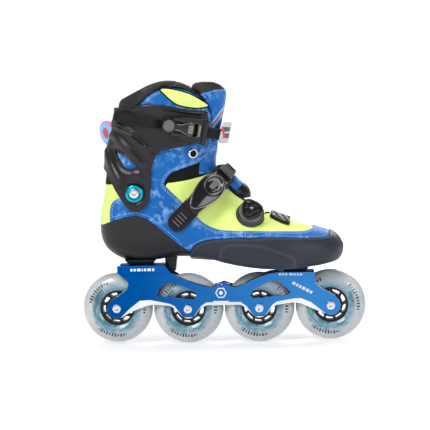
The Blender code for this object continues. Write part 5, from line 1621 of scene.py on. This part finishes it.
def visor():
    """The arched shield over the laces: coated fabric with a moulded border at its lower, open end."""
    crown = through(VISOR_CROWN, 8)
    a = np.radians(np.linspace(-80.0, 80.0, 41))
    run = np.gradient(crown[:, :2], axis=0)
    inward = np.column_stack([run[:, 1], -run[:, 0]]) / np.linalg.norm(run, axis=1, keepdims=True)
    fall = crown[:, 3:4] * (1 - np.cos(a))
    outer = np.stack(
        [
            crown[:, 0:1] + inward[:, 0:1] * fall, crown[:, 2:3] * np.sin(a),
            crown[:, 1:2] + inward[:, 1:2] * fall,
        ],
        axis=2,
    )
    along, around = np.gradient(outer, axis=0), np.gradient(outer, axis=1)
    normal = np.cross(along, around)
    normal /= np.linalg.norm(normal, axis=2, keepdims=True)
    normal *= np.sign(normal[:, 20:21, 0:1].mean())
    for low, high, first, look, name in (
        (-1.7, -0.2, 0, "blue", "visor"), (-2.2, 0.9, BORDER_ROW, "strap", "visor_border")
    ):
        rows = slice(first, len(crown))
        top, under = outer[rows] + normal[rows] * high, outer[rows] + normal[rows] * low
        rim = np.concatenate([under[:, ::-1], top], axis=1)
        obj = solid_piece(name, skinned(rim), LOOKS[look], smooth_deg=50.0)
        finish_piece(obj, "upper", "instep_cover", body="boot")
    edges = [outer[: BORDER_ROW + 1, k] + normal[: BORDER_ROW + 1, k] * 0.1 for k in (1, -2)]
    bundle = Bundle()
    for edge, k in zip(edges, (1, -2)):
        bundle.put(sweep(edge, normal[: BORDER_ROW + 1, k], ring_section(0.9)))
    finish_piece(bundle.make("visor_binding", LOOKS["piping"], 60.0), "upper", "instep_cover", body="boot")


def dial_place():
    """Local Z is the dial's axis, out of the boot, and local X points to the toe."""
    joint = JOINTS["lace_spool_turn"]
    axis = Vector(joint["axis"]).normalized()
    axis = axis if axis.y < 0 else -axis
    side = axis.cross(Vector((1, 0, 0))).normalized()
    place = Matrix((side.cross(axis), side, axis)).transposed().to_4x4()
    place.translation = Vector((DIAL_BASE[0] * MM, (SIDE + DIAL_BASE[1]) * MM, DIAL_BASE[2] * MM))
    return place


def dial():
    """The lace dial: a cup moulded onto the vamp, and a three-sided knob with grips round its rim."""
    place = dial_place()
    to_skin = Matrix.Translation((0.0, -SIDE * MM, 0.0)) @ place
    profile = eased([(9.0, 1.6), (9.0, 6.0), (12.3, 6.0), (14.5, 3.4), (14.5, 0.0)], 0.7, 3, closed=False)
    a = np.linspace(0.0, 2 * math.pi, 72, endpoint=False)
    rings = [np.column_stack([r * np.cos(a), r * np.sin(a), np.full(72, z)]) for r, z in profile]
    foot = rings[-1].copy()
    for k, (x, y, _) in enumerate(foot):
        start = to_skin @ Vector((x * MM, y * MM, 30 * MM)) / MM
        hit = TREE.ray_cast(start, -(to_skin.to_3x3() @ Vector((0, 0, 1))))
        foot[k, 2] = 30.0 - hit[3] + 0.2 if hit[0] is not None else -4.0
    foot[:, 2] = np.minimum(foot[:, 2], -0.5)
    flare = foot * (1.07, 1.07, 1.0) + (0.0, 0.0, 0.3)
    flare[:, 2] += 0.6
    lower = foot.copy()
    lower[:, 2] += 1.6
    rings = [*rings[:-1], lower, flare, foot * (1.07, 1.07, 1.0), foot * (0.6, 0.6, 1.0)]
    obj = solid_piece("dial_cup", skinned(rings[::-1]), LOOKS["cup"], place, 35.0)
    finish_piece(obj, "dial_plastic", "dial_housing", body="boot")
    spool = eased(
        [(0.1, 2.0), (8.0, 2.0), (6.4, 3.8), (8.0, 5.6), (2.4, 5.6), (2.4, 8.6), (0.1, 8.6)], 0.4, 2,
        closed=False,
    )
    obj = solid_piece("spool", lathe(spool, 48), LOOKS["dark_steel"], place, 30.0)
    finish_piece(obj, "steel", "dial_spool", body=JOINTS["lace_spool_turn"]["child"])
    turn = np.linspace(0.0, 2 * math.pi, 144, endpoint=False)
    radius = 11.2 + 1.3 * np.cos(3 * turn) + 0.22 * np.cos(36 * turn)
    outline = np.column_stack([radius * np.cos(turn), radius * np.sin(turn)])

    def crown(p):
        r, t = np.hypot(p[:, 0], p[:, 1]), np.arctan2(p[:, 1], p[:, 0])
        waist = 6.4 + 2.0 * np.cos(3 * t)
        return 0.2 - 1.9 * smoothstep(waist - 0.5, waist + 1.1, r) + 0.3 * (1 - (r / 8.0) ** 2)

    bundle = Bundle().put(dome(outline * 0.985, 6.6, 14.2, 1.2, (0.0, 0.0), crown, steps=16))
    bundle.put(lathe([(12.0, 6.4), (12.7, 6.8), (12.7, 8.4), (12.0, 8.9)], 72), 1)
    star = [
        (2.9 if k % 2 == 0 else 0.9) * np.array((math.cos(k * math.pi / 4), math.sin(k * math.pi / 4)))
        for k in range(8)
    ]
    bundle.put(dome(star, 14.2, 15.0, 0.15), 2)
    obj = bundle.make("knob", [LOOKS["gloss"], LOOKS["grey"], LOOKS["steel"]], 35.0, place)
    finish_piece(obj, "dial_plastic", "dial_knob", body=JOINTS["lace_knob_lift"]["child"])


def lace_guide():
    """A ridged clip across the vamp."""
    outline = [(51.5, 136.0), (53.0, 146.0), (74.0, 136.5), (71.5, 125.5)]
    start, run = np.array((52.2, 141.0)), np.array((20.3, -9.9)) / 22.6

    def sculpt(patch):
        along = (patch.points[:, [0, 2]] - start) @ run
        ribs = 0.5 + 0.5 * np.cos(along * 2 * math.pi / 3.4)
        return -1.5 * ribs**2 + 0.5 * np.cos((patch.points[:, 1] + 9.5) / 12.0) - 0.3

    field = both(area(outline), lambda p: np.minimum(p[:, 1] + 27.0, 8.0 - p[:, 1]))
    _, obj = panel("ribbed_guide", field, 4.4, 0.5, LOOKS["block"], 1.1, FINE, sculpt)
    finish_piece(obj, "dial_plastic", "lace_guide", body="boot")


def lace_cable():
    """The coated cable between the dial's cup and the guide."""
    place = dial_place()
    start = place @ Vector((15.1 * MM, 0.0, 3.0 * MM)) / MM - Vector((0.0, SIDE, 0.0))
    end = Vector((51.2, start.y + 5.0, 141.5))
    path = through([start, start.lerp(end, 0.5) + Vector((0.0, -0.8, 0.8)), end], 8)
    finish_piece(
        solid_piece("cable", sweep(path, [(0, 0, 1)] * len(path), ring_section(0.9, 14)), LOOKS["piping"]),
        "cable", "lace_cable", body="boot",
    )


# ---------------------------------------------------------------- wheels
def wheel_place(number):
    low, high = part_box(f"tyre_{number}")
    return Matrix.Translation((low + high) / 2) @ Matrix.Rotation(math.pi / 2, 4, "X")


def wheel(number):
    """A cast tyre on a spoked hub, two bearings and a one-piece axle. Local Z is the outer side."""
    place = wheel_place(number)
    body = f"wheel_{number}"
    side = through(
        [
            (18.9, 9.3), (22.5, 11.2), (26.0, 11.8), (30.0, 10.7), (34.0, 8.4), (36.3, 5.8), (37.6, 3.0),
            (38.0, 0.0),
        ],
        4,
    )
    profile = [*side, *(side[-2::-1] * (1, -1))]
    obj = solid_piece(
        f"tyre_cast_{number}", lathe(profile, 112, closed=True), LOOKS["urethane"], place, 50.0
    )
    finish_piece(obj, "wheel_urethane", f"tyre_{number}", body=body)
    bundle = Bundle()
    for inner, outer, half in ((11.06, 12.9, 11.5), (16.6, 18.85, 9.3)):
        bundle.put(
            lathe(
                eased([(inner, -half), (inner, half), (outer, half), (outer, -half)][::-1], 0.5, 2), 96,
                closed=True,
            )
        )
    for k in range(SPOKES):
        rings = []
        for r, twist, half_width, half in (
            (12.4, 0.0, 1.5, 9.4), (14.6, 0.07, 1.05, 8.6), (17.2, 0.16, 1.7, 8.6)
        ):
            a = 2 * math.pi * k / SPOKES + twist
            way, across = np.array((math.cos(a), math.sin(a))), np.array((-math.sin(a), math.cos(a)))
            flat = rounded_box(half_width, half, 0.6)
            rings.append([(*(way * r + across * s), z) for s, z in flat])
        bundle.put(skinned(rings))
    bundle.put(lathe([(8.9, -4.8), (8.9, 4.8), (11.4, 4.8), (11.4, -4.8)][::-1], 64, closed=True))
    obj = bundle.make(f"hub_spoked_{number}", LOOKS["hub"], 35.0, place)
    finish_piece(obj, "wheel_hub", f"hub_{number}", body=body)
    head = socket_head(5.1, 4.0, 16.3, 18.7, 2.3, 2.2)
    shaft = [(3.5, -16.0), (3.95, -15.5), (3.95, 16.3)]
    obj = solid_piece(f"axle_bolt_{number}", lathe([*shaft, *head], 72), LOOKS["steel"], place, 30.0)
    finish_piece(obj, "steel", f"axle_{number}", body="boot")
    for side_name in SIDES:
        bevelled(f"bearing_{side_name}_{number}", LOOKS["steel"])
    bevelled(f"spacer_{number}", LOOKS["dark_steel"])


def marks(bundle, start, end, height, widths, side, reach=FRAME_FACE):
    """A row of plain bars, where a line of print would be, on one of the frame's outer faces."""
    start, end = np.array(start), np.array(end)
    run = (end - start) / np.linalg.norm(end - start)
    up = np.array((-run[1], run[0])) * height
    pitch = np.linalg.norm(end - start) / sum(widths)
    at = 0.0
    for k, width in enumerate(widths):
        if k % 2 == 0:
            a, b = start + run * at, start + run * (at + width * pitch)
            flat(bundle, [a, b, b + up + run * 0.3, a + up + run * 0.3], side, reach)
        at += width * pitch


def flat(bundle, corners, side, reach=FRAME_FACE):
    """A thin printed shape on an outer face of the frame. Corners run anticlockwise from outside."""
    y = side * reach
    low = [(x, y - side * 0.05, z) for x, z in corners]
    high = [(x, y + side * 0.04, z) for x, z in corners]
    bundle.put(skinned([low, high] if side < 0 else [low[::-1], high[::-1]]))


FRAME_MARKS = [
    # first and last point in side view, height, widths of bars and gaps by turns, face
    ((60.0, 73.0), (85.0, 72.4), 2.3, (2, 1, 2, 1, 2, 2, 3, 1, 2, 1, 2, 1, 2), FRAME_FACE),
    ((73.8, 63.6), (94.6, 52.4), 3.2, (3, 1, 2, 1, 2, 1, 3, 1, 3, 1, 2), FRAME_FACE),
    ((-100.0, 80.0), (-74.0, 80.0), 2.8, (2, 1, 2, 1, 3, 1, 1, 1, 2, 1, 3, 1, 2), FLANGE_FACE),
]


def frame_rail():
    """The channel with its milled edges, a hexagon over a bar, and rows of plain bars."""
    bevelled("frame", LOOKS["frame"])
    for side, sign in SIDES.items():
        bundle = Bundle()
        centre = (-2.5, 55.0)
        outer, inner = arc(centre, 6.2, 0, 360, 6), arc(centre, 5.0, 0, 360, 6)
        for k in range(6):
            flat(bundle, [outer[k], outer[k + 1], inner[k + 1], inner[k]], sign)
        flat(bundle, arc(centre, 2.2, 0, 360, 6)[:-1], sign)
        flat(bundle, [(-11.0, 45.2), (6.0, 45.2), (6.0, 46.2), (-11.0, 46.2)], sign)
        for start, end, height, widths, reach in FRAME_MARKS:
            marks(bundle, start, end, height, widths, sign, reach)
        finish_piece(bundle.make(f"frame_marks_{side}", LOOKS["print_white"]), "frame_blue", body="boot")


def mounting_bolts():
    for name in ("heel_bolt", "toe_bolt"):
        bevelled(name, LOOKS["steel"])


# ---------------------------------------------------------------- setting and camera
CAMERA_PLACE = (0.0741, -1.746, 0.233)
AMBIENT = 0.38  # how much light the white surroundings give


def floor():
    """A pale floor, lit a little from below like a light table."""
    bpy.ops.mesh.primitive_plane_add(size=120.0, location=(0.0, 0.0, 0.0))
    obj = bpy.context.object
    obj.name = "floor"
    look = Look("floor", (0.57, 0.57, 0.58), 0.7, Specular_IOR_Level=0.2, Emission_Color=(1.0, 1.0, 1.0))
    look.colour(look.mix(look.noise(300.0, 2.0), (0.58, 0.58, 0.59), (0.55, 0.55, 0.56)))
    away = look.node("VectorMath", {0: look.where()}, operation="LENGTH").outputs["Value"]
    look.set(look.shader, {"Emission Strength": look.spread(away, 0.2, 1.4, 0.44, 0.80)})
    look.bump(look.noise(2.0, 2.0), 0.02, 0.2)
    obj.data.materials.append(look.material)


def lamp(name, position, target, size, power, colour=(1.0, 1.0, 1.0)):
    data = bpy.data.lights.new(name, "AREA")
    data.shape = "DISK"
    data.size, data.energy, data.color = size, power, colour
    obj = bpy.data.objects.new(name, data)
    bpy.context.scene.collection.objects.link(obj)
    way = Vector(target) - Vector(position)
    obj.matrix_world = Matrix.Translation(position) @ way.to_track_quat("-Z", "Y").to_matrix().to_4x4()


def studio():
    """Soft light from above and in front, over a pale floor and world."""
    floor()
    lamp("key", (-0.8, -1.2, 1.3), (0.0, 0.0, 0.13), 0.7, 21.0)
    lamp("fill", (1.3, -1.3, 0.7), (0.0, 0.0, 0.15), 0.8, 9.0)
    lamp("top", (0.1, 0.1, 1.5), (0.0, 0.0, 0.18), 0.8, 10.0)
    lamp("rim", (0.4, 1.4, 1.0), (0.0, 0.0, 0.18), 1.0, 12.0)
    world = bpy.data.worlds.new("studio")
    world.use_nodes = True
    nodes, links = world.node_tree.nodes, world.node_tree.links
    background = nodes["Background"]
    background.inputs["Color"].default_value = (1.0, 1.0, 1.0, 1.0)
    seen = nodes.new("ShaderNodeLightPath").outputs["Is Camera Ray"]
    strength = nodes.new("ShaderNodeMapRange")
    strength.inputs["To Min"].default_value = AMBIENT
    strength.inputs["To Max"].default_value = 1.05
    links.new(seen, strength.inputs["Value"])
    links.new(strength.outputs["Result"], background.inputs["Strength"])
    bpy.context.scene.world = world
    bpy.context.scene.view_settings.view_transform = "Standard"


def camera():
    """A long lens nearly square to the outer side, a little above the skate."""
    yaw, pitch, roll = math.radians(2.68), math.radians(3.09), math.radians(-1.2)
    forwards = Vector((-math.sin(yaw) * math.cos(pitch), math.cos(yaw) * math.cos(pitch), -math.sin(pitch)))
    right = Vector((math.cos(yaw), math.sin(yaw), 0.0))
    up = right.cross(forwards)
    x = right * math.cos(roll) + up * math.sin(roll)
    y = up * math.cos(roll) - right * math.sin(roll)
    data = bpy.data.cameras.new("camera")
    data.lens, data.sensor_width = 135.5, 36.0
    data.dof.use_dof = False
    obj = bpy.data.objects.new("camera", data)
    turn = Matrix((x, y, -forwards)).transposed().to_4x4()
    obj.matrix_world = Matrix.Translation(CAMERA_PLACE) @ turn
    bpy.context.scene.collection.objects.link(obj)
    bpy.context.scene.camera = obj


def build():
    carbon_shell()
    toe_bumper()
    lime_panels()
    blue_upper()
    throat_bands()
    slot_mesh()
    liner()
    collar_roll()
    tongue()
    collar_panel()
    insole()
    cuff()
    pivot_bolts()
    rear_badge()
    eyelets()
    ratchet_strap("ankle_band", ANKLE_GIRTH, 5.8, TOOTH_PITCH, "strap_plastic", ["ankle_strap"], "cuff")
    ratchet_strap("instep_band", INSTEP_GIRTH, 7.2, TOOTH_PITCH, "strap_plastic", ["instep_strap"], "boot")
    strap_base()
    shin_pad()
    ankle_buckle()
    instep_buckle()
    for prefix in ("ankle", "instep"):
        bevelled(f"{prefix}_buckle_base", LOOKS["gloss"], 0.5, 3)
        bevelled(f"{prefix}_buckle_pin", LOOKS["steel"], 0.2)
        bevelled(f"{prefix}_buckle_pawl", LOOKS["dark_steel"])
    visor()
    dial()
    lace_guide()
    lace_cable()
    for number in WHEELS:
        wheel(number)
    frame_rail()
    mounting_bolts()
    studio()
    camera()


build()
